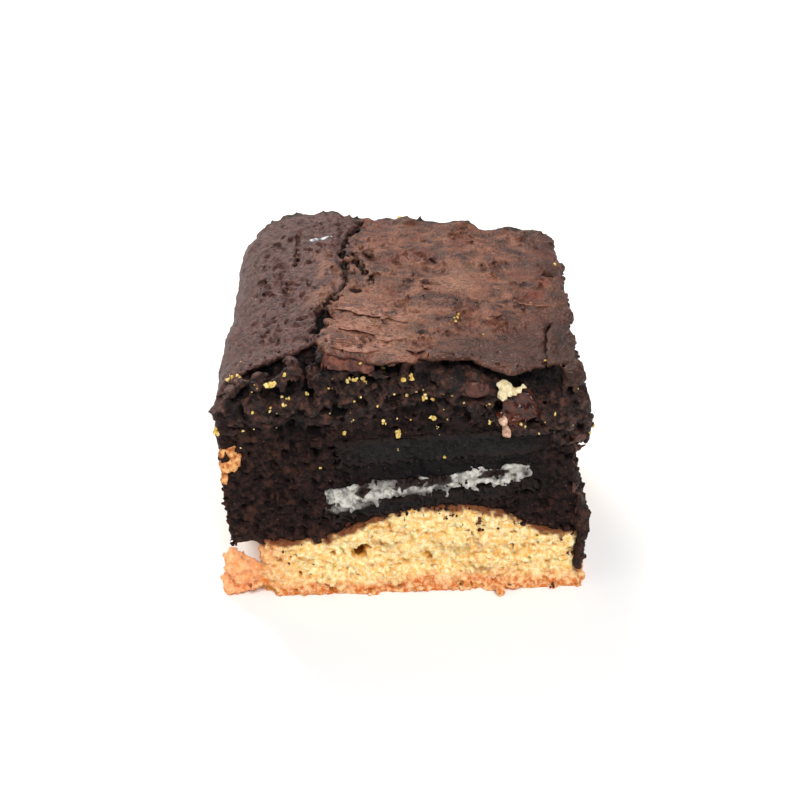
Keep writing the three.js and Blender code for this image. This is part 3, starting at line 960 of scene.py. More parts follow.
@dataclass
class FudgeBody:
    """The dark fudge body with its crust, crack, crags and the room for the biscuit."""

    form: BrownieForm
    step: float = 0.35
    crags: tuple = (
        (29.2, -27.4, 44.8, 1.7, 2.3, 1.2),
        (29.4, -28.2, 43.4, 2.1, 2.6, 2.0),
        (30.0, -28.4, 40.6, 1.9, 2.6, 2.0),
        (27.4, -28.6, 37.4, 4.9, 3.0, 3.7),
        (24.6, -28.4, 40.4, 1.8, 2.2, 1.6),
        (23.6, -28.8, 32.6, 4.4, 2.6, 2.3),
        (19.6, -28.9, 33.2, 2.2, 2.2, 1.8),
        (9.6, -28.4, 43.0, 6.8, 3.2, 2.7),
        (15.0, -29.2, 42.8, 2.1, 2.3, 2.0),
        (-19.7, -28.0, 45.2, 1.6, 1.9, 2.3),
        (-21.8, -28.8, 43.2, 1.5, 1.6, 1.3),
        (-15.6, -28.2, 44.4, 1.8, 2.0, 2.4),
        (-18.1, -29.8, 40.1, 1.5, 1.6, 1.6),
        (-14.3, -29.4, 40.2, 1.6, 1.6, 1.8),
        (-10.8, -29.9, 40.8, 1.7, 1.6, 1.6),
        (-5.8, -29.5, 45.2, 2.7, 1.5, 0.8),
        (-7.6, -29.4, 42.4, 3.4, 2.0, 1.4),
        (-0.6, -29.4, 42.6, 2.6, 1.9, 1.5),
        (-26.8, -29.4, 39.4, 1.7, 1.8, 1.5),
        (-30.6, -29.0, 41.6, 1.0, 1.5, 0.8),
        (-28.8, -28.6, 42.8, 1.0, 1.2, 0.7),
        (-25.2, -28.0, 43.6, 1.3, 1.5, 1.0),
        (-23.5, -29.9, 38.4, 2.4, 1.7, 1.2),
        (-33.4, -29.4, 36.8, 1.2, 1.6, 0.9),
        (0.4, 28.9, 49.4, 2.7, 1.8, 1.2),
        (10.8, 29.0, 48.4, 3.8, 1.8, 1.2),
        (26.5, 28.6, 46.4, 2.7, 1.8, 1.1),
    )
    hollows: tuple = (
        (19.7, -31.4, 38.8, 2.7, 3.0, 2.4),
        (24.2, -30.0, 43.8, 3.1, 4.2, 1.6),
        (21.8, -30.6, 44.4, 2.0, 3.0, 1.2),
        (-32.0, -32.0, 40.4, 1.0, 2.6, 1.9),
        (-27.9, -31.8, 42.0, 1.3, 2.6, 1.3),
        (-22.4, -31.4, 41.4, 1.5, 2.4, 1.2),
        (-17.3, -31.2, 42.6, 1.1, 2.4, 1.0),
        (-25.2, -31.6, 40.9, 1.2, 2.2, 0.8),
        (-12.6, -30.8, 46.4, 2.0, 2.2, 1.3),
        (-10.4, -31.4, 43.9, 1.6, 2.0, 0.8),
        (1.2, -31.2, 45.9, 2.6, 2.4, 0.8),
        (8.0, -30.6, 46.5, 4.4, 2.4, 0.8),
        (29.2, -31.8, 33.7, 2.4, 1.6, 0.7),
        (-23.0, -32.0, 36.6, 7.0, 1.3, 0.5),
        (-13.2, -31.6, 38.4, 3.2, 1.3, 0.45),
        (-20.0, -31.9, 31.6, 4.6, 1.0, 0.4),
        (2.0, -31.2, 39.0, 5.5, 1.2, 0.5),
        (-9.3, 9.6, 49.4, 0.7, 1.9, 1.8),
        (-8.6, 6.4, 49.2, 1.0, 2.2, 2.4),
        (-7.8, 3.0, 49.2, 1.1, 1.7, 2.2),
        (-5.3, 2.6, 49.3, 0.8, 0.8, 1.2),
        (-6.3, -0.4, 49.3, 0.6, 2.0, 1.2),
        (-8.9, -3.8, 49.4, 1.3, 1.0, 1.4),
        (-6.9, -4.3, 49.3, 0.7, 0.8, 1.0),
        (-10.5, 7.3, 49.9, 0.6, 1.1, 0.8),
        (-11.0, 20.6, 50.4, 1.0, 1.8, 1.8),
    )
    pits: tuple = (
        (-24.3, 19.5, 0.5, 0.9), (-25.8, 16.7, 0.6, 0.6), (-22.8, 17.5, 0.4, 0.7),
        (-20.8, 14.7, 0.4, 0.8), (-20.7, 11.8, 0.5, 0.9), (-20.8, 9.1, 0.4, 0.8),
        (-20.8, 7.4, 0.5, 0.7), (-21.2, 6.4, 0.7, 0.5), (-18.6, 6.2, 0.7, 0.6),
        (-26.9, 13.0, 0.5, 0.6), (-29.6, 12.8, 0.6, 0.5), (-24.2, 7.4, 0.6, 0.6),
        (-25.0, 6.7, 0.5, 0.5), (-23.0, 3.9, 0.5, 0.6), (-23.6, 2.1, 0.5, 0.9),
        (-26.5, 2.1, 0.4, 0.6), (-18.9, 0.0, 0.7, 0.5), (-18.0, -2.0, 0.5, 0.6),
        (-20.3, -1.7, 0.6, 0.5), (-19.2, -5.9, 0.5, 0.6), (-18.2, -7.7, 0.5, 0.8),
        (-21.3, -4.0, 0.4, 0.8), (-21.0, -6.9, 0.4, 0.8), (-21.2, -7.8, 0.5, 0.6),
        (-30.3, 3.0, 0.5, 0.5), (-28.1, -1.3, 0.4, 0.5), (-29.8, -3.5, 0.5, 0.5),
        (-25.4, -2.6, 0.5, 0.4), (-27.4, -11.1, 0.6, 0.7), (-28.0, -11.2, 0.7, 0.6),
        (-25.1, -13.0, 0.7, 0.5), (-23.6, -13.1, 0.5, 0.5), (-21.6, -14.9, 0.5, 0.9),
        (-22.3, -12.5, 0.7, 0.4), (-24.0, -11.7, 0.7, 0.4), (-27.6, -14.1, 1.0, 0.5),
        (-25.5, -17.1, 0.6, 0.5), (-25.0, -15.5, 0.4, 0.7), (-23.7, -18.9, 0.4, 0.9),
        (-23.4, -16.4, 0.4, 0.6), (-19.6, -16.8, 0.8, 0.7), (-19.1, -14.7, 0.8, 0.8),
        (-19.2, -21.2, 0.9, 0.8), (-22.9, -21.0, 0.5, 1.2), (-27.7, -20.5, 1.2, 0.6),
        (-29.3, -20.0, 0.5, 0.5), (-29.9, -16.1, 0.7, 0.5), (-16.2, -12.4, 0.9, 0.8),
        (-14.6, -18.4, 0.8, 0.7), (-13.7, -15.6, 0.8, 0.8), (-14.5, -9.8, 1.1, 0.8),
        (-15.5, -11.9, 1.2, 0.6), (-17.0, -13.1, 1.0, 0.6), (-12.7, -7.0, 0.8, 1.0),
        (-11.8, -5.8, 0.7, 0.9), (-11.0, -1.6, 0.7, 1.0), (-11.0, 3.5, 0.6, 0.8),
        (-11.8, 5.6, 0.6, 1.2), (-14.0, -4.2, 0.6, 0.4), (-12.3, -17.9, 0.4, 0.4),
        (3.3, 20.5, 1.3, 0.9), (1.9, -10.5, 1.0, 0.8), (9.8, -10.8, 0.8, 0.7),
        (17.3, -12.7, 1.2, 0.8), (5.2, -0.2, 1.2, 0.7), (18.7, -3.6, 0.8, 0.6),
        (-5.0, -14.0, 0.5, 0.4), (27.7, 8.6, 1.3, 1.4),
    )

    def build(self, rooms: list) -> tuple[Sponge, Skin]:
        """Samples and skins the body.

        Args:
            rooms: Functions of a sponge that give the distance to each biscuit layer.

        Returns:
            The samples, for placing crumbs, and the skin.
        """
        f, h = self.form, self.step
        s = Sponge(
            np.arange(-36.6, 36.7, h),
            np.concatenate([np.arange(-34.6, -26, 0.33), np.arange(-26, 33.0, 0.5)]),
            np.arange(10.2, 53.4, 0.34),
        )
        x2, y2 = s.x[:, :, 0], s.y[:, :, 0]
        top = f.crust_height(x2, y2).astype(np.float32)[:, :, None]
        floor = f.base_height(x2, y2).astype(np.float32)[:, :, None]
        plate = f.plate(x2, y2).astype(np.float32)[:, :, None]
        front = f.front_y(s.x)
        left, right = f.left_x(s.y, s.z), f.right_x(s.y, s.z)
        plan = f.walls(s, left, right, front + 0.25, 0.3)
        # Under its broken front edge the crumb slopes back, and stands a little further in
        back = np.maximum(f.edge_y(s.x) - front, 0.0)
        depth = top - s.z
        slope = (back + 0.9) * (1 - smooth(depth, 0.8, 1.15 * back + 2.2))
        uneven = 0.8 + 0.5 * s.noise((4, 9, 9), 11)
        lip = 1.9 * bell(depth, 2.5, 1.3) * mix(0.3, 1.0, plate) * uneven
        inland = smooth(s.x, f.left + 1.5, f.left + 6.0)
        under = top - 0.45 * inland - 0.8 * plate * (1 - smooth(s.y - front, 2.0, 8.0))
        body = soft_max(plan, s.z - under, 1.2 + 2.4 * (1 - smooth(s.x - left, 2.0, 7.0)))
        plain = soft_max(body, front + 0.25 + slope - s.y, 1.0)
        foot = 0.65 * bell(s.z - floor, 0.2, 1.1)
        body = soft_max(body, front + 0.25 + slope + lip - foot - s.y, 1.0)
        fine = s.noise((0.85, 0.85, 0.75), 12)
        mid = s.noise((1.9, 1.7, 1.5), 13)
        wide = s.noise((4.8, 4.2, 3.6), 14)
        layered = s.noise((3.4, 1.6, 0.95), 15)
        upper = smooth(s.z + 5.0 * smooth(s.x, 15, 20) - 2.0 * bell(s.x, 4, 9), 33.5, 38.0)
        # Crumbs are rounded lumps with sharp dark creases between them
        lumpy = 0.45 * (1 - 2.6 * np.abs(mid)) + 0.5 * (1 - 2.6 * np.abs(fine))
        lower = 0.3 * wide + 0.5 * (0.3 - np.abs(layered)) + 0.75 * lumpy
        relief = upper * (1.1 * wide + 1.4 * lumpy) + (1 - upper) * lower
        shoulder = (1 - smooth(s.x - left, 3.5, 6.5)) * smooth(s.z - top, -5.0, -2.5)
        calm = smooth(s.x - left, 0.3, 1.6) * (1 - shoulder) + (1 - smooth(s.y - front, 1.5, 4.0))
        calm = 0.2 + 0.8 * np.minimum(calm, 1.0)
        body = body + relief * calm + 0.5 * (1 - calm) * wide
        crust = self.crust_plate(s, top, front, plate) + (0.1 + 0.25 * (1 - plate)) * fine
        s.distance = np.minimum(body, crust)
        sole = floor - 0.4 + 0.8 * mid + 0.4 * fine - s.z
        s.distance = np.maximum(s.distance, sole).astype(np.float32)
        rough = 0.7 * mid + 1.2 * fine
        for c in self.crags:
            s.lump(c[:3], c[3:], rough, (0.58 if c[1] < 0 else 0.3) / min(c[3:]), True)
        for c in self.hollows:
            s.lump(c[:3], c[3:], rough, 0.4 / min(c[3:]), False)
        self.open_cracks(s, top)
        for room in rooms:
            rim = room(s) + 0.3 * fine + 0.15 * mid + 0.1
            s.distance = np.maximum(s.distance, np.minimum(-rim, -23.0 - s.y))
        self.break_up(s, fine)
        limit = s.x - f.right_x(s.y, s.z) - 0.65 - 0.35 * mid - 0.3 * fine
        s.distance = np.maximum(s.distance, limit)
        sole = floor - 0.5 + 0.8 * mid + 0.4 * fine - s.z
        s.distance = np.maximum(s.distance, sole).astype(np.float32)
        # The front crumb stays crisp: only the back and right edges are worn
        edges = np.maximum(smooth(s.y, 24, 28), smooth(s.x, 28.5, 31.5))
        s.soften(np.broadcast_to(0.06 + 0.36 * edges, s.distance.shape))
        LOG.info("body sampled: %s", s.distance.shape)
        skin = s.skin().largest()
        self.plain, self.lumpy = plain.astype(np.float32), lumpy
        return s, skin

    def crust_plate(self, s: Sponge, top: Array, front: Array, plate: Array) -> Array:
        """The papery crust, its outline ragged where it was cut and broken.

        Args:
            s: Samples of the body.
            top: Height of the crust over each sample.
            front: Where the front wall stands.
            plate: Where the crust is whole, 0 to 1.

        Returns:
            Distance to the sheet of crust on every sample.
        """
        f = self.form
        x2, y2 = s.x[:, :, 0], s.y[:, :, 0]
        wrinkle = 0.3 * (0.3 - np.abs(grain(x2 / 1.7, y2 + 0.15 * x2, 0.0, 2.6, 21)))
        wrinkle = wrinkle + 0.12 * grain(x2 / 1.3, y2, 0.0, 0.95, 22)
        wrinkle = wrinkle + 0.2 * grain(x2, y2, 0.0, 2.0, 23)
        wrinkle = wrinkle + 0.5 * grain(x2 / 1.2, y2, 5.0, 4.6, 20)
        off = x2 - f.crack_x(y2)
        curl = 0.25 * bell(off, 1.1, 0.9) - 0.25 * bell(off, -1.0, 1.2)
        waves = mix(0.7, 1.0, plate[:, :, 0]) * wrinkle + curl
        skin_top = top + waves.astype(np.float32)[:, :, None]
        thick = 1.3 - 0.4 * plate + 0.3 * s.noise((3, 3, 9), 24)
        edge_front = f.edge_y(s.x) - 0.35
        edge_right = f.right_x(s.y, 46.0) + 0.1 + 0.55 * grain(0.0, s.y, 0.0, 4.4, 27)
        edge_right = edge_right + 0.3 * grain(0.0, s.y, 0.0, 1.3, 28)
        edge_back = f.half_depth - 0.2 + 0.7 * grain(s.x, 0.0, 0.0, 3.1, 29)
        skin_top = skin_top - 0.9 * (1 - smooth(s.x, f.left + 1.5, f.left + 5.0))
        edge_left = f.left + 2.4 + 0.4 * grain(0.0, s.y, s.z, 1.6, 30)
        sheet = soft_max(s.z - skin_top, skin_top - thick - s.z, 0.4)
        for edge in (edge_front - s.y, s.x - edge_right, s.y - edge_back, edge_left - s.x):
            sheet = soft_max(sheet, edge, 0.6)
        return sheet

    def open_cracks(self, s: Sponge, top: Array) -> None:
        """Opens the long crack, the short one by the right edge, and fine side cracks.

        Args:
            s: Samples of the body.
            top: Height of the crust over each sample.
        """
        f = self.form
        jag = 0.55 * s.noise((1.9, 1.6, 1.9), 31) + 0.4 * s.noise((0.8, 0.75, 0.8), 32)
        right = np.interp(s.y, (-29.0, -26.3, -20.2, -14.5, -10.9), (23.9, 24.6, 24.9, 25.7, 26.8))
        lines = (
            (f.crack_x(s.y), -33.0, -9.5, 1.05, 5.0),
            (f.crack_x(s.y), -10.0, 15.0, 0.5, 2.6),
            (f.crack_x(s.y), 14.0, 28.4, 0.62, 3.4),
            (right, -29.0, -10.6, 0.26, 1.6),
            (-21.2 + 0.0 * s.y, 9.0, 21.0, 0.24, 1.2),
            (-18.4 + 0.25 * (s.y + 5), -8.0, -2.0, 0.2, 0.9),
            (-21.4 + 0.1 * s.y, -9.0, -3.0, 0.2, 0.9),
        )
        for n, (line, start, end, half, deep) in enumerate(lines):
            swing = 0.5 + 0.5 * grain(0.0, s.y, n * 7.0, 2.2, 33)
            wide = half * mix(0.2, 1.9, swing) * (1 - 0.6 * smooth(top - s.z, 0.0, deep))
            slot = np.abs(s.x - line + jag * min(1.0, 1.6 * half)) - wide
            slot = np.maximum(slot, top - deep * mix(0.5, 1.0, swing) - s.z)
            slot = np.maximum(slot, np.maximum(start - s.y, s.y - end))
            s.distance = np.maximum(s.distance, -slot)

    def break_up(self, s: Sponge, fine: Array) -> None:
        """Sticks crumbs to the cut faces, and carves pores into them and the crust.

        Args:
            s: Samples of the body.
            fine: Fine relief that roughens each lump.
        """
        f = self.form
        rng = np.random.default_rng(41)
        strong = 1.6 * fine
        for face, total in ((0, 1700), (1, 900), (2, 900)):
            surface = s.reach(face)
            for n in range(int(total * 1.6)):
                join = n < total
                u, z = rng.uniform(-33, 33), rng.uniform(12, 48)
                upper = z > 34 + 3 * bell(u, 4, 9) - 5 * float(smooth(u, 15, 20))
                draw = rng.random()
                size = 0.35 + 1.05 * draw**2.2 if upper else 0.25 + 0.45 * draw**2
                if face == 0 and -12 < u < 26 and 18 < z < 34 and (not join or rng.random() < 0.6):
                    continue
                place = surface(u, z)
                clear = 2.0 if face == 0 else 3.5
                if place is None or z > float(f.crust_height(*place[:2])) - clear:
                    continue
                if face == 1 and u < -15:
                    size *= 0.6
                inward = (0.35 if join else -0.2) * size
                spot = [place[0], place[1], z]
                axis, sign = ((1, 1), (0, -1), (1, -1))[face]
                spot[axis] += sign * inward
                radii = size * rng.uniform(0.6, 1.5, 3)
                s.lump(spot, radii, strong, 0.34, join)
        for x, y, across, along in self.pits:
            z = float(f.crust_height(x, y))
            s.lump((x, y, z + 0.1), (across, along, 1.1), strong, 0.5, False)
        for _ in range(260):
            y, z = rng.uniform(-27, 29), rng.uniform(13, 42)
            size = 0.25 + 0.4 * rng.random() ** 3
            x = float(f.left_x(y, z)) - 0.1
            s.lump((x, y, z), (0.7 * size, size, size), strong, 0.3, False)
        for _ in range(620):
            x, y = rng.uniform(-32.5, -9), rng.uniform(-30, 30)
            if rng.random() > 0.3 + 0.6 * bell(x, -20, 5) + 0.4 * bell(y, -17, 8):
                continue
            size = rng.uniform(0.2, 0.42)
            z = float(f.crust_height(x, y))
            radii = (size * rng.uniform(0.7, 1.6), size * 1.2, 1.5 * size)
            s.lump((x, y, z + 0.1), radii, fine, 0.3, False)
        for _ in range(160):
            y = rng.uniform(-24, 25)
            x = float(f.crack_x(y)) + rng.normal(0, 1.3)
            size = rng.uniform(0.25, 0.6)
            z = float(f.crust_height(x, y)) - 0.3
            s.lump((x, y, z), (size, size * 1.2, size), strong, 0.45, rng.random() < 0.4)
        for _ in range(110):
            x, y = rng.uniform(-8, 30), rng.uniform(-28, 29)
            size = rng.uniform(0.2, 0.45)
            z = float(f.crust_height(x, y))
            s.lump((x, y, z + 0.2), (size * 1.5, size * 1.1, size), strong, 0.35, False)

    def dress(self, s: Sponge, skin: Skin, material: Any) -> Any:
        """Measures the masks and makes the piece.

        Args:
            s: Samples of the layer.
            skin: Its surface.
            material: Built material.

        Returns:
            The mesh object.
        """
        f = self.form
        x, y, z = skin.points.T
        normal = skin.normals()
        top = f.crust_height(x, y)
        plate = f.plate(x, y)
        near_crack = bell(x - f.crack_x(y), 0.0, 0.9)
        depth = top - z
        crust = 1 - smooth(depth + 0.3 * grain(x, y, z, 1.1, 51), 0.75, 1.3)
        crust = crust * smooth(normal[:, 2], -0.4, 0.1) * (1 - near_crack * smooth(depth, 0.2, 0.7))
        sideways = 1 - smooth(np.abs(normal[:, 1]), 0.6, 0.9)
        side = smooth(f.left_x(y, z) + 5.5 - x, 0.0, 1.5) * sideways
        side = side * smooth(y - f.front_y(x) + 1.2 * grain(x, y, z, 2.2, 55), 1.5, 4.0)
        side = side * (1 - smooth(x - f.left_x(y, z) - 1.5, 0.0, 1.5) * smooth(depth, 2.5, 4.0))
        wall = side * smooth(depth + grain(x, y, z, 3.0, 61), 1.5, 5.0)
        # Beyond the short right crack and along the back the sheet broke off, and crumb shows
        bare_right = smooth(x, 25.6, 27.4) * (1 - smooth(y, -13, -8))
        bare_back = smooth(y + 0.6 * grain(x, y, z, 1.5, 62), 28.4, 29.2)
        crust = np.maximum(crust * (1 - np.maximum(0.65 * bare_right, bare_back)), side)
        pan = np.maximum(1 - plate, side)
        proud = s.at(self.plain, skin.points)
        char = bell(x, 7.0, 20.0) * bell(z, 26.0, 8.5) * (1 - smooth(y - f.front_y(x), 4, 8))
        char = np.clip(1.35 * char + 0.3 * grain(x, y, z, 2.6, 52), 0, 1)
        # Painted sheen on two patches of the crust where this is high; darker below nought over the
        # right part and the front right; left of the crack it lifts ruddy blotches
        sheen_and_tone = 0.9 * bell(x, 10.5, 5.5) * bell(y, 4.0, 8.0)
        sheen_and_tone = sheen_and_tone + 0.8 * bell(x, -6.0, 8.0) * bell(y, -22, 8.0)
        sheen_and_tone = sheen_and_tone - 0.6 * smooth(x, 24.8, 27.0) * (1 - smooth(y, -14, -6))
        sheen_and_tone = sheen_and_tone - 0.6 * smooth(x, 16, 28)
        sheen_and_tone = sheen_and_tone - 0.85 * smooth(x, -1, 12) * (1 - smooth(y, -22, -8))
        sheen_and_tone = sheen_and_tone + 0.5 * grain(x / 1.3, y, z, 6.0, 57)
        near_left = bell(x, -15.0, 4.0) * bell(y, 0.0, 14.0)
        near_left = near_left + 0.5 * bell(x, -27.0, 3.0) * bell(y, -18, 6.0)
        sheen_and_tone = np.where(x < f.crack_x(y), 1.1 * near_left + 0.25 * grain(x, y, z, 4.0, 60), sheen_and_tone)
        bare = bell(x, 24.4, 2.6) * bell(y, -0.4, 1.5) + bell(x, 26.8, 1.4) * bell(y, 5.0, 3.0)
        bare = smooth(bare + 0.25 * grain(x, y, z, 1.0, 58), 0.45, 0.65)
        points = skin.points + normal * (
            (1 - crust) * 0.1 * grain(x, y, z, 0.6, 53) + crust * 0.03 * grain(x, y, z, 0.8, 54)
        )[:, None]
        level = z + 5.0 * smooth(x, 15, 20) - 2.0 * bell(x, 4, 9)
        rich = smooth(level + grain(x, y, z, 2.5, 59), 33, 38)
        # Creases between the crumbs, where painted shade darkens the colour
        crease_shade = smooth(s.at(self.lumpy, skin.points), 0.3, 0.8)
        masks = {"crust": crust, "pan": pan, "proud": proud, "char": char, "crease_shade": crease_shade}
        masks |= {"sheen_and_tone": sheen_and_tone, "bare": bare, "rich": rich, "wall": wall}
        piece = make_piece("fudge_body", points, skin.faces, masks)
        settle(piece, "fudge", material, "brownie")
        return piece


@dataclass
class CookieBase:
    """The pale cookie layer, with open crumb, two big holes and a broken lump in front."""

    form: BrownieForm
    chip: float = 5.2
    flare: float = 1.7
    crags: tuple = (
        (-31.2, -30.2, 4.0, 2.9, 2.2, 3.6),
        (-32.3, -30.4, 7.3, 1.2, 1.5, 2.0),
        (-28.6, -30.2, 3.4, 2.6, 2.0, 2.4),
        (-32.9, -31.2, 1.4, 1.1, 1.4, 1.5),
        (-26.8, -29.6, 2.8, 2.6, 2.0, 2.2),
        (17.4, -32.0, 1.0, 1.2, 1.2, 1.0),
        (-12.0, -31.6, 2.6, 2.4, 0.9, 1.2),
        (-2.0, -31.4, 3.0, 1.6, 0.9, 1.3),
        (8.6, -31.2, 11.6, 3.2, 0.8, 1.4),
        (-4.0, -31.8, 12.6, 2.6, 0.8, 1.1),
        (14.5, -31.0, 6.8, 2.6, 0.8, 1.5),
    )
    holes: tuple = (
        (-8.8, -31.6, 8.2, 1.4, 3.8, 1.6),
        (-7.8, -31.6, 9.5, 1.6, 3.0, 0.8),
        (3.8, -31.8, 7.3, 1.5, 3.0, 0.8),
        (4.2, -31.6, 6.4, 0.8, 2.8, 0.9),
        (-25.4, -32.4, 0.6, 1.4, 1.6, 1.0),
    )

    def build(self, rooms: list) -> tuple[Sponge, Skin]:
        """Samples and skins the base, as FudgeBody.build does.

        Args:
            rooms: Forms to carve out for the wafers and the cream.

        Returns:
            The samples and the surface.
        """
        f = self.form
        s = Sponge(
            np.arange(-36.0, 36.2, 0.3),
            np.concatenate([np.arange(-34.6, -26.5, 0.28), np.arange(-26.5, 32.6, 0.6)]),
            np.concatenate([[-0.3, 0.0], np.arange(0.16, 20.2, 0.29)]),
        )
        x2, y2 = s.x[:, :, 0], s.y[:, :, 0]
        height = f.base_height(x2, y2).astype(np.float32)[:, :, None]
        left = f.left + 0.7 + self.chip * (1 - smooth(s.y, -17, -9))
        left = left + 0.5 * (1 - smooth(s.z, 1.2, 5))
        right = f.right - 1.6 + self.flare * (1 - smooth(s.z, 0, 3.4))
        right = right + 0.7 * (1 - smooth(s.y, -27, -20))
        front = f.front_y(s.x) - 0.1 - 1.0 * (1 - smooth(s.z, 0.5, 5.0))
        plan = f.walls(s, left, right, front, 0.0)
        plain = np.maximum(plan, s.z - height)
        fine = s.noise((0.6, 0.65, 0.58), 61)
        mid = s.noise((1.1, 1.1, 1.0), 62)
        wide = s.noise((3.4, 3.4, 2.4), 63)
        clump = s.noise((2.0, 2.0, 1.6), 65)
        lumpy = 0.15 * (1 - 2.6 * np.abs(mid)) + 0.14 * (1 - 2.6 * np.abs(fine))
        lumpy = lumpy + 0.65 * (0.3 - np.abs(clump))
        s.distance = (plan + 0.5 * wide + lumpy).astype(np.float32)
        s.distance = np.maximum(s.distance, s.z - height + 0.3 * mid)
        rough = mid + 0.9 * fine
        for c in self.crags:
            s.lump(c[:3], c[3:], rough, 0.35, True)
        rng = np.random.default_rng(64)
        strong = 1.6 * fine
        for face, total in ((0, 1300), (1, 600), (2, 800)):
            surface = s.reach(face)
            for n in range(int(total * 1.5)):
                u, z = rng.uniform(-33, 33), rng.uniform(0.2, 18)
                join = n < total
                size = rng.uniform(0.2, 0.4) if join else rng.uniform(0.15, 0.5)
                if join:
                    size = size + 0.6 * rng.random() ** 5
                if face == 0 and u < -26.2 and z > 5.5:
                    continue
                place = surface(u, z)
                if place is None or z > float(f.base_height(*place)) - 0.5:
                    continue
                spot = [place[0], place[1], z]
                axis, sign = ((1, 1), (0, -1), (1, -1))[face]
                spot[axis] += sign * (0.35 if join else -0.1) * size
                s.lump(spot, size * rng.uniform(0.6, 1.5, 3), strong, 0.36, join)
        for c in self.holes:
            s.lump(c[:3], c[3:], rough, 0.3, False)
        for room in rooms:
            s.distance = np.maximum(s.distance, np.minimum(-room(s), -23.0 - s.y))
        s.distance = np.maximum(s.distance, s.z - height - 0.1 + 0.35 * mid)
        s.distance = np.maximum(s.distance, -s.z).astype(np.float32)
        s.distance[:, :, 1] = np.where(s.distance[:, :, 2] < 0, -1e-4, s.distance[:, :, 1])
        s.distance[:, :, 0] = 1.0
        LOG.info("base sampled: %s", s.distance.shape)
        self.plain, self.lumpy = plain.astype(np.float32), lumpy
        return s, s.skin().largest(0.002)

    def dress(self, s: Sponge, skin: Skin, material: Any) -> Any:
        """Measures the masks and makes the piece.

        Args:
            s: Samples of the layer.
            skin: Its surface.
            material: Built material.

        Returns:
            The mesh object.
        """
        f = self.form
        x, y, z = skin.points.T
        proud = s.at(self.plain, skin.points)
        band = z + 1.3 * grain(x, y, z, 2.4, 71) + 0.6 * grain(x, y, z, 0.9, 72)
        browned = 1 - smooth(band, 1.8, 4.4)
        corner = 1 - smooth(x + 2.5 * grain(x, y, z, 3.0, 73), -27.5, -18)
        browned = np.maximum(browned, 0.8 * corner * (1 - smooth(y, -20, -8)))
        piece_mask = (1 - smooth(x, -28.0, -26.4)) * (1 - smooth(y, -27, -25))
        away = f.base_height(x, y) - z + 0.8 * grain(x, y, z, 1.3, 74)
        away = away + 0.5 * grain(x, y, z, 0.6, 75)
        stain = 0.96 * (1 - smooth(away, 0.2, 1.4))
        # Creases in the crumb, for the painted shade in them
        crease_shade = smooth(s.at(self.lumpy, skin.points), 0.15, 0.5)
        masks = {"proud": proud, "browned": browned, "stain": stain}
        masks |= {"rosy": piece_mask, "crease_shade": crease_shade}
        piece = make_piece("cookie_layer", skin.points, skin.faces, masks)
        settle(piece, "cookie", material, "cookie_base")
        return piece


@dataclass
class FudgeRun:
    """The thin run of fudge that slid down over the right side of the base."""

    form: BrownieForm
    low: float = 3.0
    high: float = 21.0
    outer: tuple = (
        (3.0, 32.7), (7.0, 33.0), (10.3, 33.2), (14.8, 33.4), (19.2, 32.3), (21.7, 31.3),
    )

    def build(self, material: Any) -> Any:
        """Makes the piece.

        Args:
            material: Built material.

        Returns:
            The mesh object.
        """
        f = self.form
        s = Sponge(
            np.arange(29.0, 36.6, 0.33),
            np.arange(-32.6, 12.6, 0.38),
            np.arange(1.0, 23.6, 0.33),
        )
        wide = s.noise((3.4, 3.4, 3.0), 76)
        mid = s.noise((1.7, 1.7, 1.5), 78)
        fine = s.noise((0.85, 0.9, 0.8), 77)
        t = (s.y + 29.0) / 36.0
        low = self.low + 9.0 * smooth(t, 0.35, 1.0) + 1.3 * wide + 0.7 * mid
        base_right = f.right - 1.4 + 0.7 * (1 - smooth(s.y, -27, -20))
        heights, places = zip(*self.outer)
        edge = np.interp(s.z, heights, places)
        # It thins out downwards, backwards and up into the crumb of the body
        fade = (1 - 0.9 * smooth(t, 0.2, 0.95)) * mix(0.4, 1, smooth(s.z - low, 0.0, 3.5))
        outer = base_right + 0.1 + (edge - base_right) * fade - 2.6 * smooth(s.z + wide, 16.5, 22.5)
        d = np.maximum(s.x - outer, base_right - 0.9 - s.x)
        d = soft_max(d, np.maximum(low - s.z, s.z - self.high + 1.6 * wide + mid), 1.6)
        d = soft_max(d, np.maximum(-29.6 - s.y, s.y - 7.5 + 2.0 * wide + mid), 1.0)
        lumpy = 0.3 * (1 - 2.6 * np.abs(mid)) + 0.3 * (1 - 2.6 * np.abs(fine))
        s.distance = (d + 0.2 * wide + lumpy).astype(np.float32)
        skin = s.skin().largest(0.2)
        x, y, z = skin.points.T
        flat = np.zeros(len(x))
        masks = {name: flat for name in ("crust", "pan", "char", "sheen_and_tone", "bare", "wall")}
        # Creases between the lumps, for the painted shade in them
        crease_shade = smooth(s.at(lumpy, skin.points), 0.25, 0.6)
        masks |= {"proud": flat + 0.2, "rich": flat + 0.3, "crease_shade": crease_shade}
        piece = make_piece("fudge_run", skin.points, skin.faces, masks)
        settle(piece, "fudge", material)
        return piece


class Layer(Enum):
    """The layers of the sandwich biscuit."""

    LOWER = "biscuit_lower"
    CREAM = "cream_filling"
    UPPER = "biscuit_upper"


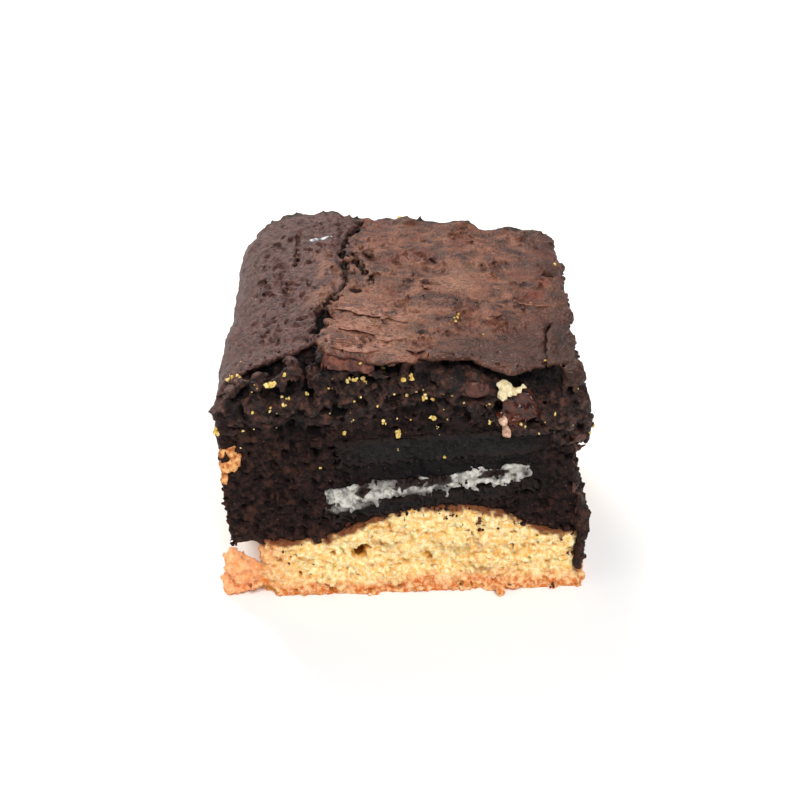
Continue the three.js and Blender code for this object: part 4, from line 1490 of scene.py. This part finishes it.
@dataclass
class SandwichBiscuit:
    """A round black sandwich biscuit, baked in and cut through by the front face."""

    form: BrownieForm
    y: float = -20.2
    cut: float = 10.5
    wafer_radius: float = 22.0
    cream_radius: float = 21.0
    cream: float = 3.5
    lower: float = 2.5
    upper: float = 4.8
    gap: float = 0.15
    stack_x: float = 3.6
    stack_z: float = 22.2
    stack_tilt: float = 7.2
    upper_x: float = 6.6
    upper_z: float = 30.3
    upper_tilt: float = 2.6

    def seat(self, layer: Layer) -> tuple[float, float, float, float, float, float]:
        """Middle x and z, tilt in degrees, half thickness, radius and rise of a layer.

        Args:
            layer: Wafer or cream.

        Returns:
            The six values, lengths in millimetres.
        """
        if layer is Layer.UPPER:
            half = self.upper / 2
            return self.upper_x, self.upper_z, self.upper_tilt, half, self.wafer_radius, 0.0
        if layer is Layer.CREAM:
            half = self.cream / 2
            return self.stack_x, self.stack_z, self.stack_tilt, half, self.cream_radius, 0.0
        rise = -(self.cream + self.lower) / 2 - self.gap
        return self.stack_x, self.stack_z, self.stack_tilt, self.lower / 2, self.wafer_radius, rise

    def distance(self, s: Sponge, layer: Layer, open_front: bool) -> Array:
        """Distance to a layer of the sandwich biscuit.

        Args:
            s: Samples to measure at.
            layer: Wafer or cream.
            open_front: Whether the layer runs on past the cut, to carve its room.

        Returns:
            The distance on every sample, negative inside.
        """
        x0, z0, tilt, half, radius, rise = self.seat(layer)
        turn = math.radians(tilt)
        u = (s.x - x0) * math.cos(turn) + (s.z - z0) * math.sin(turn)
        w = (s.z - z0) * math.cos(turn) - (s.x - x0) * math.sin(turn) - rise
        v = s.y - self.y
        chord = math.sqrt(radius**2 - self.cut**2)
        disc = np.hypot(u, np.maximum(v, -self.cut)) - radius
        if not open_front:
            disc = np.maximum(disc, self.form.front_y(s.x) + 0.45 - s.y)
        else:
            disc = np.where(v < -self.cut, np.abs(u) - chord, disc)
        return np.maximum(disc, np.abs(w) - half)

    def rooms(self) -> list:
        """Functions that give the distance to each layer's room."""
        return [lambda s, layer=layer: self.distance(s, layer, True) for layer in Layer]

    def build(self, wafer: Any, cream: Any) -> None:
        """Makes the two wafers and the cream.

        Args:
            wafer: Material of the wafers.
            cream: Material of the cream.
        """
        for layer in Layer:
            x0, z0, tilt, half, radius, rise = self.seat(layer)
            lean = radius * math.sin(math.radians(tilt)) + half + 1.5
            step = 0.26 if layer is Layer.CREAM else 0.3
            s = Sponge(
                np.arange(x0 - radius - 1.5, x0 + radius + 1.5, step),
                np.concatenate([np.arange(-33.2, -28.5, step), np.arange(-28.5, 3.6, 1.1)]),
                np.arange(z0 + rise - lean, z0 + rise + lean, step),
            )
            d = self.distance(s, layer, False)
            fine = s.noise((0.7, 0.8, 0.6), 81)
            mid = s.noise((2.2, 2.0, 1.4), 82)
            near = 1 - smooth(s.y, -29.5, -27.5)
            if layer is Layer.CREAM:
                ends = smooth(np.abs(s.x - 3.2), 14.0, 19.0)
                d = d + near * (1.0 * mid + 0.7 * fine - 0.08 + 0.7 * ends)
            else:
                ends = smooth(np.abs(s.x - x0), 14.0, 21.0)
                creases = 0.3 * (1 - 2.2 * np.abs(fine))
                uneven = 0.6 if layer is Layer.LOWER else 0.32
                depth = 1 + 2 * uneven + 2 * ends
                d = d + near * (uneven * mid + depth * creases - 0.3 + 0.35 * ends)
            s.distance = d.astype(np.float32)
            skin = s.skin().largest()
            x, y, z = skin.points.T
            turn = math.radians(tilt)
            w = (z - z0) * math.cos(turn) - (x - x0) * math.sin(turn) - rise
            edge = 0.9 * smooth(np.abs(w), half - 1.1, half - 0.1)
            edge = edge + smooth(np.abs(x - x0), 11.0, 19.0)
            edge = edge + (0.5 if layer is Layer.LOWER else 0.0) + 0.5 * grain(x, y, z, 1.2, 86)
            pale = bell(x, -10.5, 5.0) * smooth(w, half - 1.7, half - 0.2) * (layer is Layer.LOWER)
            pale = smooth(pale + 0.35 * grain(x / 1.4, y, z, 1.3, 87), 0.3, 0.9)
            masks = {"smear": smooth(edge, 0.35, 1.0), "pale": pale}
            if layer is Layer.CREAM:
                patch = grain(x / 1.7, y, z, 1.6, 83) + 0.6 * grain(x, y, z, 0.7, 84)
                rise_z = z - (z0 + (x - x0) * math.tan(math.radians(tilt)))
                brown = bell(x, 1.5, 5.4) * smooth(rise_z, -0.7, 0.2)
                brown = brown + bell(x, 15.3, 2.8) * bell(rise_z, 0.6, 0.8)
                brown = brown + 0.7 * bell(x, 6.2, 1.6)
                gap = bell(x, -7.6, 1.2) * smooth(rise_z, -0.9, 0.4)
                masks["smear"] = smooth(0.8 * patch + 1.5 * np.maximum(brown, gap), 0.7, 1.05)
                # Darker towards the band's top and bottom, mostly in the middle: painted shade by
                # the wafers, with random grey patches
                cream_shade = bell(x, 2.0, 8.0) + 0.5 * grain(x, y, z, 3.0, 85)
                masks["cream_shade"] = np.clip(cream_shade * smooth(np.abs(rise_z), 0.4, 1.5) + 0.3 * patch, 0, 1)
            piece = make_piece(layer.value + "_cut", skin.points, skin.faces, masks)
            slot, material = "black_biscuit", wafer
            if layer is Layer.CREAM:
                slot, material = "cream", cream
            settle(piece, slot, material, layer.value)


def ball(subdivisions: int) -> tuple[Array, Array]:
    """Points and three-sided faces of a ball of radius 1.

    Args:
        subdivisions: How often the faces of an icosahedron are split.

    Returns:
        The points and the faces.
    """
    mesh = bmesh.new()
    bmesh.ops.create_icosphere(mesh, subdivisions=subdivisions, radius=1.0)
    points = np.array([v.co[:] for v in mesh.verts])
    faces = np.array([[v.index for v in f.verts] for f in mesh.faces])
    mesh.free()
    return points, faces


@dataclass
class CrumbScatter:
    """Loose crumbs of one kind, all in one mesh, each a cluster of uneven lumps."""

    name: str
    seed: int
    uneven: float = 0.45
    detail: int = 2

    def __post_init__(self) -> None:
        """Starts with no crumbs."""
        self.rng = np.random.default_rng(self.seed)
        self.spots: list[tuple[Array, float, int, Array]] = []

    def drop(self, spot: Any, size: float, lumps: int = 4, squash: Any = (1, 1, 1)) -> None:
        """Adds a crumb of a size in millimetres, made of a number of lumps."""
        self.spots.append((np.asarray(spot, float), size, lumps, np.asarray(squash, float)))

    def build(self, slot: str, material: Any) -> Any:
        """Makes the piece.

        Args:
            slot: Material slot.
            material: Built material.

        Returns:
            The mesh object.
        """
        shape, faces = ball(self.detail)
        points, rings = [], []
        count = 0
        for n, (spot, size, lumps, squash) in enumerate(self.spots):
            for _ in range(lumps):
                radius = 0.5 * size
                offset = np.zeros(3)
                if lumps > 1:
                    radius *= self.rng.uniform(0.5, 1.0) / (1 + 0.1 * lumps)
                    offset = self.rng.normal(0, 0.23 * size, 3) * squash
                swell = 1 + self.uneven * grain(*(shape + n + offset).T, 0.8, self.seed)
                stretch = squash * self.rng.uniform(0.75, 1.3, 3) if lumps > 1 else squash
                points.append(spot + offset + shape * swell[:, None] * radius * stretch)
                rings.append(faces + count)
                count += len(shape)
        piece = make_piece(self.name, np.concatenate(points), np.concatenate(rings), {})
        settle(piece, slot, material)
        return piece


@dataclass
class Smear:
    """Soft food that follows the surface beneath it, or a chunk of its own."""

    name: str
    spots: tuple
    thick: float = 0.35
    ragged: float = 0.35
    pools: tuple = ()
    step: float = 0.2

    def build(self, under: Sponge | None, slot: str, material: Any) -> Any:
        """Makes the piece.

        Args:
            under: Samples of the food that it lies on, or None for a chunk.
            slot: Material slot.
            material: Its material.

        Returns:
            The new piece.
        """
        spots = np.array(self.spots + self.pools)
        low = (spots[:, :3] - spots[:, 3:]).min(0) - 1.0
        high = (spots[:, :3] + spots[:, 3:]).max(0) + 1.0
        if under is None:
            s = Sponge(*(np.arange(a, b, self.step) for a, b in zip(low, high)))
        else:
            ends = zip(low, high)
            window = tuple(slice(*np.searchsorted(a, pair)) for a, pair in zip(under.axes, ends))
            s = Sponge(*(axis[part] for axis, part in zip(under.axes, window)))
        rough = s.noise((1.1, 1.1, 1.1), 98) + 0.6 * s.noise((0.6, 0.6, 0.6), 99)
        for spot in self.spots:
            s.lump(spot[:3], spot[3:], rough, self.ragged / min(spot[3:]), True)
        if under is not None:
            s.distance = np.maximum(s.distance, under.distance[window] - self.thick)
        for spot in self.pools:
            s.lump(spot[:3], spot[3:], rough, 0.12 / min(spot[3:]), True)
        skin = s.skin().largest(0.01)
        piece = make_piece(self.name, skin.points, skin.faces, {})
        settle(piece, slot, material)
        return piece


@dataclass
class Toppings:
    """Loose crumbs, melted chocolate, a smooth chip and peeling flakes on the square."""

    form: BrownieForm
    body: Sponge
    base: Sponge
    peels: tuple = (
        (-6.2, -12.2, 6.6, 3.4, -0.32, 0.55, 0.0, 111),
        (-8.2, -19.8, 4.4, 2.3, -0.22, 0.6, 0.0, 112),
        (-9.0, -25.6, 6.0, 3.4, -0.05, 0.35, 0.0, 113),
        (-3.6, -21.8, 3.0, 2.0, 0.1, 0.25, 0.0, 114),
        (24.0, -4.0, 3.0, 1.2, 0.1, 0.35, 0.0, 117),
    )
    flaps: tuple = (
        (-9.4, -29.6, 4.6, 1.6, 0.06, 0.0, 2.0, 115),
        (-2.6, -29.4, 2.6, 1.3, 0.1, 0.0, 1.2, 118),
        (1.4, -26.4, 1.6, 2.6, 0.2, 0.7, 0.0, 116),
    )

    def __post_init__(self) -> None:
        """Maps the front and top surfaces."""
        self.fronts = [self.body.reach(0), self.base.reach(0)]
        inside = self.body.distance < 0
        high = len(self.body.axes[2]) - 1 - inside[:, :, ::-1].argmax(2)
        self.tops = np.where(inside.any(2), self.body.axes[2][high], 12.0)

    def face_y(self, x: float, z: float) -> float:
        """Where the front surface stands at x and z."""
        found = [place for place in (find(x, z) for find in self.fronts) if place]
        return min(place[1] for place in found) if found else float(self.form.front_y(x))

    def seen(self, x: float, height: float) -> tuple[float, float]:
        """Where a line of sight from the photograph's angle meets the food.

        Args:
            x: Place across.
            height: Where the line crosses the plane of the front cut.

        Returns:
            y and z of the place that it meets.
        """
        fall = math.tan(math.radians(LOOK_DOWN))
        front = float(self.form.front_y(x))
        biscuit = abs(x - 4.0) < 18.0 and 19.0 < height < 33.0
        for y in np.arange(front - 3.0, 30.0, 0.2):
            z = height - fall * (y + self.form.half_depth)
            held = self.body.holds(x, y, z) or self.base.holds(x, y, z)
            if held or (biscuit and y > front + 0.4):
                return float(y), float(z)
        return front, height

    def right_edge(self, z: float) -> tuple[float, float]:
        """Where x and y of the body reach furthest right at a height, near the front.

        Args:
            z: Height in millimetres.

        Returns:
            The x and the y of that place.
        """
        along, up = (np.searchsorted(self.body.axes[i], v) for i, v in ((1, -22.0), (2, z)))
        inside = self.body.distance[:, :along, up] < 0
        last = int(np.nonzero(inside.any(1))[0].max())
        return float(self.body.axes[0][last]), float(self.body.axes[1][inside[last].argmax()])

    def top_z(self, x: Any, y: Any) -> Array:
        """Height of the top surface at x and y, evened over a millimetre.

        Args:
            x: Places across, in millimetres.
            y: Places along the depth.

        Returns:
            The heights.
        """
        total = 0.0
        shifts = (-0.5, 0.0, 0.5)
        across, along = self.body.axes[:2]
        for dx in shifts:
            for dy in shifts:
                i = np.clip(np.searchsorted(across, np.asarray(x) + dx), 0, len(across) - 1)
                j = np.clip(np.searchsorted(along, np.asarray(y) + dy), 0, len(along) - 1)
                total = total + self.tops[i, j] / 9
        return total

    def cookie_crumbs(self, material: Any) -> None:
        """Pale cookie crumbs caught on the upper half of the cut face.

        Args:
            material: Built material of the piece.
        """
        heap = CrumbScatter("cookie_crumbs", 91, 0.75, 1)
        rng = heap.rng
        named = (
            (-31.2, 44.6, 1.3), (-30.2, 44.9, 1.4), (-29.2, 45.0, 0.9), (-23.4, 43.4, 1.9),
            (-20.9, 45.4, 1.0), (-27.9, 41.9, 0.5), (-21.6, 40.8, 1.0), (-20.7, 40.5, 1.2),
            (-21.4, 39.6, 0.9), (-17.2, 41.3, 1.0), (-26.7, 38.1, 1.0), (-23.6, 38.4, 0.7),
            (-9.6, 44.2, 1.3), (-8.8, 44.6, 0.9), (-7.7, 44.2, 1.3), (-4.1, 46.2, 1.3),
            (-5.9, 46.0, 0.6), (-0.5, 44.5, 1.1), (0.7, 44.8, 1.3), (-7.9, 47.6, 0.7),
            (-0.1, 41.3, 0.8), (3.4, 41.1, 1.5), (4.6, 40.4, 0.7), (8.0, 41.2, 0.6),
            (10.0, 39.6, 0.5), (-3.6, 39.0, 0.9), (-1.6, 36.6, 0.7), (4.9, 37.0, 1.4),
            (2.3, 36.3, 0.6), (-10.9, 34.0, 1.1), (-3.9, 35.9, 0.9), (-1.4, 33.8, 1.5),
            (5.4, 34.9, 0.7), (-28.7, 34.5, 0.6), (14.2, 39.4, 0.7), (14.7, 35.6, 0.8),
            (26.0, 37.4, 0.9), (6.6, 28.7, 1.0), (-1.4, 30.3, 0.5), (-15.3, 26.7, 0.6),
            (29.0, 35.0, 0.8), (24.0, 32.4, 0.8), (-33.1, 34.2, 1.5), (20.2, 35.3, 0.8),
            (21.0, 34.8, 0.6),
        )
        for x, height, size in named:
            y, z = self.seen(x, height)
            heap.drop((x, y - 0.1 * size, z), size, 3)
        for height, size in ((32.6, 1.0), (31.6, 0.7)):
            heap.drop((*self.right_edge(height), height), size, 3)
        for _ in range(90):
            x, z = rng.uniform(-31, 31), rng.normal(39, 5)
            if 15 < z < 46:
                heap.drop((x, self.face_y(x, z), z), rng.uniform(0.2, 0.5), 1)
        on_crust = (
            (9.2, -13.6, 1.0), (8.8, -12.9, 0.9), (9.6, -12.4, 0.7), (13.9, -17.5, 0.4),
            (24.3, -26.8, 0.5),
        )
        for x, y, size in on_crust:
            heap.drop((x, y, self.top_z(x, y) + 0.1 * size), size, 3)
        at_edges = ((-12.4, 30.0, 1.4), (-9.6, 30.2, 0.8), (-0.7, 29.8, 1.1), (29.3, 14.0, 1.3))
        for x, y, size in at_edges:
            heap.drop((x, y, self.top_z(x, y)), size, 3)
        # A row of nine specks along the left shoulder
        for n in range(9):
            x, y = -28.4 - 0.42 * n, -21.5 - 0.75 * n
            heap.drop((x, y, self.top_z(x, y)), 0.3, 1)
        for _ in range(22):
            x, y = rng.uniform(-30, 27), rng.uniform(-26, 27)
            heap.drop((x, y, self.top_z(x, y)), rng.uniform(0.15, 0.3), 1)
        heap.build("cookie", material)

    def dough_smear(self, material: Any) -> None:
        """Browned cookie dough that was dragged up the front left edge by the knife.

        Args:
            material: Built material of the piece.
        """
        Smear("dough_smear", (
            (-30.9, -30.6, 30.3, 0.9, 2.4, 1.1), (-30.3, -30.6, 28.7, 1.1, 2.4, 1.2),
            (-31.5, -30.6, 28.0, 1.3, 2.4, 0.8), (-32.5, -30.6, 27.0, 1.2, 2.6, 1.2),
            (-32.7, -30.6, 25.3, 0.9, 2.6, 1.5), (-32.9, -30.6, 29.9, 0.8, 2.4, 0.8),
            (-30.5, -30.6, 26.9, 0.6, 2.4, 0.6),
        )).build(self.body, "cookie", material)

    def cream_bits(self, chunk: Any, line: Any) -> None:
        """The big pale crumb beside the chip, and the pinkish line of cream below it.

        Args:
            chunk: Material of the crumb.
            line: Material of the line.
        """
        Smear("pale_chunk", (
            (17.0, -31.0, 43.0, 1.3, 1.0, 1.1), (16.6, -31.0, 41.6, 1.0, 0.9, 1.1),
            (18.2, -31.0, 42.2, 1.1, 0.9, 0.8), (19.4, -30.8, 42.4, 0.9, 0.8, 0.7),
            (20.2, -30.6, 42.9, 0.5, 0.6, 0.5),
        ), ragged=0.32).build(None, "cream", chunk)
        path = (
            (16.9, 36.3), (17.3, 35.2), (17.6, 34.0), (17.7, 33.0), (18.4, 31.8), (19.4, 31.1),
            (21.5, 30.2), (24.4, 29.4),
        )
        spots = []
        for t in np.linspace(0, len(path) - 1, 60):
            i = min(int(t), len(path) - 2)
            x, z = (mix(path[i][k], path[i + 1][k], t - i) for k in (0, 1))
            size = float(mix(0.62, 0.3, smooth(t, 2.4, 5.5)) * (1.0 + 0.25 * math.sin(3.1 * t)))
            spots.append((x, self.face_y(x, z), z, size, 1.2, size))
        Smear("cream_line", tuple(spots), 0.45, 0.1).build(self.body, "cream", line)

    def fleck(self, material: Any) -> None:
        """The pale sliver on the crust left of the crack.

        Args:
            material: Built material of the piece.
        """
        heap = CrumbScatter("pale_sliver", 95, 0.3, 2)
        for n in range(14):
            t = n / 13
            x, y = mix(-18.2, -14.0, t), 15.3 + 2.7 * math.sin(2.0 * t)
            heap.drop((x, y, self.top_z(x, y) + 0.1), mix(1.25, 0.3, t), 1, (1.2, 0.9, 0.5))
        heap.build("cream", material)

    def fudge_specks(self, material: Any) -> None:
        """Small red-brown smears and specks of fudge on the pale base.

        Args:
            material: Built material of the piece.
        """
        heap = CrumbScatter("fudge_specks", 89, 0.7, 1)
        rng = heap.rng
        for _ in range(70):
            x = rng.uniform(-27, 31)
            z = float(self.form.base_height(x, -31.0)) - abs(rng.normal(0, 1.2)) + 0.5
            heap.drop((x, self.face_y(x, z) + 0.08, z), rng.uniform(0.2, 0.7), 2)
        for _ in range(16):
            x, z = rng.uniform(-26, 31), rng.uniform(0.6, 14)
            if z < float(self.form.base_height(x, -31.0)):
                spot = (x, self.face_y(x, z) + 0.06, z)
                heap.drop(spot, rng.uniform(0.15, 0.4), 1, (1.6, 0.7, 0.8))
        for x, z, size in (
            (13.0, 15.6, 1.5), (13.1, 14.7, 1.1), (12.8, 14.2, 0.7), (8.4, 16.4, 1.2),
            (7.0, 15.8, 0.7), (13.4, 12.6, 0.9), (14.2, 12.7, 0.7), (28.5, 10.2, 1.0),
            (28.6, 9.5, 0.7), (-22.6, 9.6, 0.9), (-22.0, 8.4, 1.1), (-21.8, 7.0, 0.8),
            (-10.4, 14.6, 1.4), (-10.0, 14.0, 0.9), (-5.8, 10.0, 0.5), (22.6, 0.8, 0.9),
            (27.2, 1.0, 1.3), (10.4, 0.7, 0.8), (30.8, 6.6, 1.0), (30.0, 7.2, 0.7),
            (31.2, 7.6, 0.6), (-31.0, 10.8, 0.9), (-24.4, 4.4, 0.4),
        ):
            heap.drop((x, min(self.face_y(x, z), -30.0 + 0.0457 * x), z), size, 5)
        heap.build("fudge", material)

    def fudge_crumbs(self, material: Any) -> None:
        """Dark crumbs on the pale base, over the cream and along the edges.

        Args:
            material: Built material of the piece.
        """
        heap = CrumbScatter("fudge_crumbs", 92, 0.7, 1)
        rng = heap.rng
        for x, z, size in (
            (3.0, 23.6, 2.2), (0.6, 23.5, 1.8), (5.0, 24.2, 1.6), (15.4, 24.6, 2.0),
            (16.9, 24.6, 1.6), (-7.4, 21.4, 1.5), (11.0, 23.4, 0.9), (9.6, 22.6, 0.8),
            (-1.6, 22.9, 1.5), (7.2, 22.7, 1.0), (6.6, 24.0, 1.2),
        ):
            heap.drop((x, min(self.face_y(x, z), -30.2 + 0.0457 * x), z), size, 6)
        for _ in range(420):
            x, z = rng.uniform(-15, 25), rng.uniform(16, 34)
            y = self.face_y(x, z)
            size = rng.uniform(0.25, 0.7)
            if y < self.form.front_y(x) + 2.0:
                heap.drop((x, y, z), size, 2)
        for _ in range(50):
            x = rng.uniform(-32, 31)
            y = float(self.form.edge_y(x)) + 0.5 + abs(rng.normal(0.2, 0.4))
            heap.drop((x, y, self.top_z(x, y)), rng.uniform(0.3, 0.8), 3)
        heap.build("fudge", material)

    def chocolate(self, wet: Any, dry: Any) -> None:
        """Melted chocolate in the pocket and down the right edge, and a smooth chip.

        Args:
            wet: Material of the melted chocolate.
            dry: Material of the chip.
        """
        coat = (
            (19.6, -29.6, 38.6, 3.4, 3.0, 2.9), (18.2, -30.2, 37.2, 2.2, 2.4, 2.0),
            (21.8, -29.8, 37.6, 1.6, 2.6, 1.8), (18.6, -30.0, 35.6, 1.2, 2.4, 1.2),
        )
        pools = ((20.0, -28.0, 39.6, 3.0, 1.5, 1.9), (18.4, -28.9, 38.2, 1.6, 1.3, 1.6))
        Smear("melted_chocolate", coat, 0.3, 0.5, pools).build(self.body, "fudge", wet)
        Smear("melted_edge", (
            (30.6, -30.0, 31.2, 1.9, 2.6, 1.4), (31.2, -29.8, 28.4, 1.5, 2.6, 2.2),
            (31.0, -29.8, 25.0, 1.4, 2.6, 2.6), (31.4, -29.8, 21.0, 1.3, 2.4, 2.8),
            (32.0, -29.6, 17.0, 1.1, 2.4, 2.6),
        ), 0.22, 0.55).build(self.body, "fudge", dry)
        chip = CrumbScatter("chocolate_chip", 97, 0.16, 3)
        chip.drop((12.0, -31.0, 42.6), 4.6, 1, (1.0, 0.3, 0.7))
        chip.build("fudge", dry)

    def flakes(self, name: str, sheets: tuple, material: Any) -> None:
        """Thin sheets of crust that peel, or hang over the front edge.

        Args:
            name: Name of the piece.
            sheets: Middle x and y, half length, half width, turn, lift of the front rim, how far
                it hangs down and noise seed of each, in millimetres and radians.
            material: Its material.
        """
        points, rings, count = [], [], 0
        turns, steps = 72, 9
        angle = np.linspace(0, 2 * np.pi, turns, endpoint=False)[:, None]
        reach = np.linspace(0, 1, steps)[None, :]
        for x0, y0, long, wide, lean, lift, hang, seed in sheets:
            edge = 1 + 0.22 * grain(np.cos(angle), np.sin(angle), 0.0, 0.55, seed)
            edge = edge + 0.12 * grain(np.cos(angle), np.sin(angle), 0.0, 0.16, seed)
            u, v = reach * edge * np.cos(angle) * long, reach * edge * np.sin(angle) * wide
            x = x0 + u * math.cos(lean) - v * math.sin(lean)
            y = y0 + u * math.sin(lean) + v * math.cos(lean)
            lifted = lift * smooth(-v / wide, 0.0, 1.0) + 0.1
            lifted = lifted - 0.3 * smooth(v / wide, 0.5, 1.0)
            z = self.top_z(x, np.maximum(y, -29.0)) + lifted
            z = z + 0.08 * grain(x / 2, y, 0.0, 1.0, seed)
            drop = hang * np.clip(-(y + 29.6) / 1.2, 0, 1.4)
            y = np.where(hang > 0, np.maximum(y, -31.4 - 0.1 * drop), y)
            z = z - drop
            for side in (0.0, 0.16):
                points.append(np.stack([x, y, z - side], -1).reshape(-1, 3))
            n = turns * steps
            grid = count + np.arange(n).reshape(turns, steps)
            after = np.roll(grid, -1, 0)
            corners = (grid[:, :-1], grid[:, 1:], after[:, 1:], after[:, :-1])
            quad = np.stack(corners, -1).reshape(-1, 4)
            rim = np.stack([grid[:, -1], grid[:, -1] + n, after[:, -1] + n, after[:, -1]], -1)
            rings += [quad, (quad + n)[:, ::-1], rim]
            count += 2 * n
        piece = make_piece(name, np.concatenate(points), np.concatenate(rings), {})
        settle(piece, "fudge", material)


@dataclass
class Studio:
    """The camera, a pale floor and soft lights."""

    lens: float = 66.8
    elevation: float = LOOK_DOWN
    roll: float = -0.32
    distance: float = 292.1
    target: tuple[float, float, float] = (-0.92, 0.0, 24.1)

    def camera(self) -> Any:
        """Looks along +Y and down at the photograph's angle.

        Returns:
            The camera object.
        """
        data = bpy.data.cameras.new("camera")
        data.lens, data.sensor_width, data.clip_start = self.lens, 36.0, 0.01
        cam = bpy.data.objects.new("camera", data)
        bpy.context.collection.objects.link(cam)
        tilt = math.radians(self.elevation)
        forward = Vector((0, math.cos(tilt), -math.sin(tilt)))
        turn = forward.to_track_quat("-Z", "Y").to_matrix().to_4x4()
        spot = (Vector(self.target) - forward * self.distance) * MM
        roll = Matrix.Rotation(math.radians(self.roll), 4, "Z")
        cam.matrix_world = Matrix.Translation(spot) @ turn @ roll
        bpy.context.scene.camera = cam
        return cam

    def lamp(self, name: str, spot: tuple, size: float, power: float, colour: str) -> None:
        """A soft square lamp that looks at the food.

        Args:
            name: Name of the lamp.
            spot: Where it stands, in metres.
            size: Length of a side, in metres.
            power: Power in watts.
            colour: Colour as sRGB hex.
        """
        data = bpy.data.lights.new(name, "AREA")
        data.shape, data.size, data.energy = "SQUARE", size, power
        data.color = linear(colour)[:3]
        lamp = bpy.data.objects.new(name, data)
        bpy.context.collection.objects.link(lamp)
        lamp.location = spot
        aim = Vector((0, 0, 0.025)) - Vector(spot)
        lamp.rotation_euler = aim.to_track_quat("-Z", "Y").to_euler()

    def build(self) -> None:
        """Makes the camera, floor, lights and pale surroundings."""
        self.camera()
        bpy.ops.mesh.primitive_plane_add(size=4.0, location=(0, 0, -0.00005))
        floor = bpy.context.object
        floor.name = "floor"
        paper = PlainFood("pale_paper", "#f7f6f4", "#faf9f8", 0.7, 300.0, 0.01)
        floor.data.materials.append(paper.material())
        self.lamp("lamp_above", (-0.2, 0.46, 0.46), 0.3, 4.2, "#fffaf4")
        self.lamp("lamp_front", (0.14, -0.52, 0.66), 0.34, 6.3, "#ffffff")
        self.lamp("lamp_side", (-0.6, -0.3, 0.3), 0.4, 0.7, "#f6f7ff")
        bpy.context.scene.view_settings.view_transform = "Standard"
        world = bpy.data.worlds.new("studio")
        bpy.context.scene.world = world
        world.use_nodes = True
        world.node_tree.nodes["Background"].inputs["Color"].default_value = linear("#f4f5f8")
        world.node_tree.nodes["Background"].inputs["Strength"].default_value = 0.35


def main() -> None:
    """Builds the layers and their toppings in order."""
    logging.basicConfig(level=logging.INFO, format="%(message)s")
    form = BrownieForm()
    Studio().build()
    biscuit = SandwichBiscuit(form)
    fudge = FudgeAndCrust().material()
    body = FudgeBody(form)
    body_sponge, body_skin = body.build(biscuit.rooms())
    body.dress(body_sponge, body_skin, fudge)
    base = CookieBase(form)
    base_sponge, base_skin = base.build(biscuit.rooms()[:1])
    base.dress(base_sponge, base_skin, BakedCookie().material())
    FudgeRun(form).build(fudge)
    biscuit.build(BlackBiscuit().material(), SugarCream().material())
    toppings = Toppings(form, body_sponge, base_sponge)
    toppings.cookie_crumbs(PlainFood("dry_cookie_crumb", "#cda548", "#f3dc96").material())
    dough = PlainFood("browned_cookie_dough", "#a8561f", "#f3b878", patch=1.2, relief=0.2)
    toppings.dough_smear(dough.material())
    toppings.cream_bits(
        PlainFood("pale_cream_crumb", "#e0c58e", "#f8edc8", relief=0.25).material(),
        PlainFood("pinkish_cream", "#9c6c56", "#dcbca2", 0.5).material(),
    )
    # Set sugar has a light satin shine
    sugar = PlainFood("pale_sugar_sliver", "#5c6668", "#dfe4e4", 0.3, 1.6, 0.1, 0.5)
    toppings.fleck(sugar.material())
    toppings.fudge_specks(PlainFood("red_brown_fudge_speck", "#3a170c", "#6e3420").material())
    crumb = PlainFood("dark_fudge_crumb", "#130c0b", "#33201a", shine=0.2)
    toppings.fudge_crumbs(crumb.material())
    # Melted cocoa butter mirrors the lamps while it is wet, and dulls to satin when it sets
    wet = PlainFood("wet_melted_chocolate", "#2a1009", "#552616", 0.14, 1.8, 0.08, 0.5)
    dry = PlainFood("set_chocolate", "#321912", "#5a3024", 0.38, 1.6, 0.1, 0.4)
    toppings.chocolate(wet.material(), dry.material())
    peel = PlainFood("papery_crust_flake", "#744637", "#a2715a", 0.5, shine=0.4)
    toppings.flakes("crust_flakes", toppings.peels, peel.material())
    flap = PlainFood("torn_red_brown_crust", "#3f1f17", "#7a4535", 0.5, 1.1, 0.2, 0.4)
    toppings.flakes("crust_flap", toppings.flaps, flap.material())


if __name__ == "__main__":
    main()
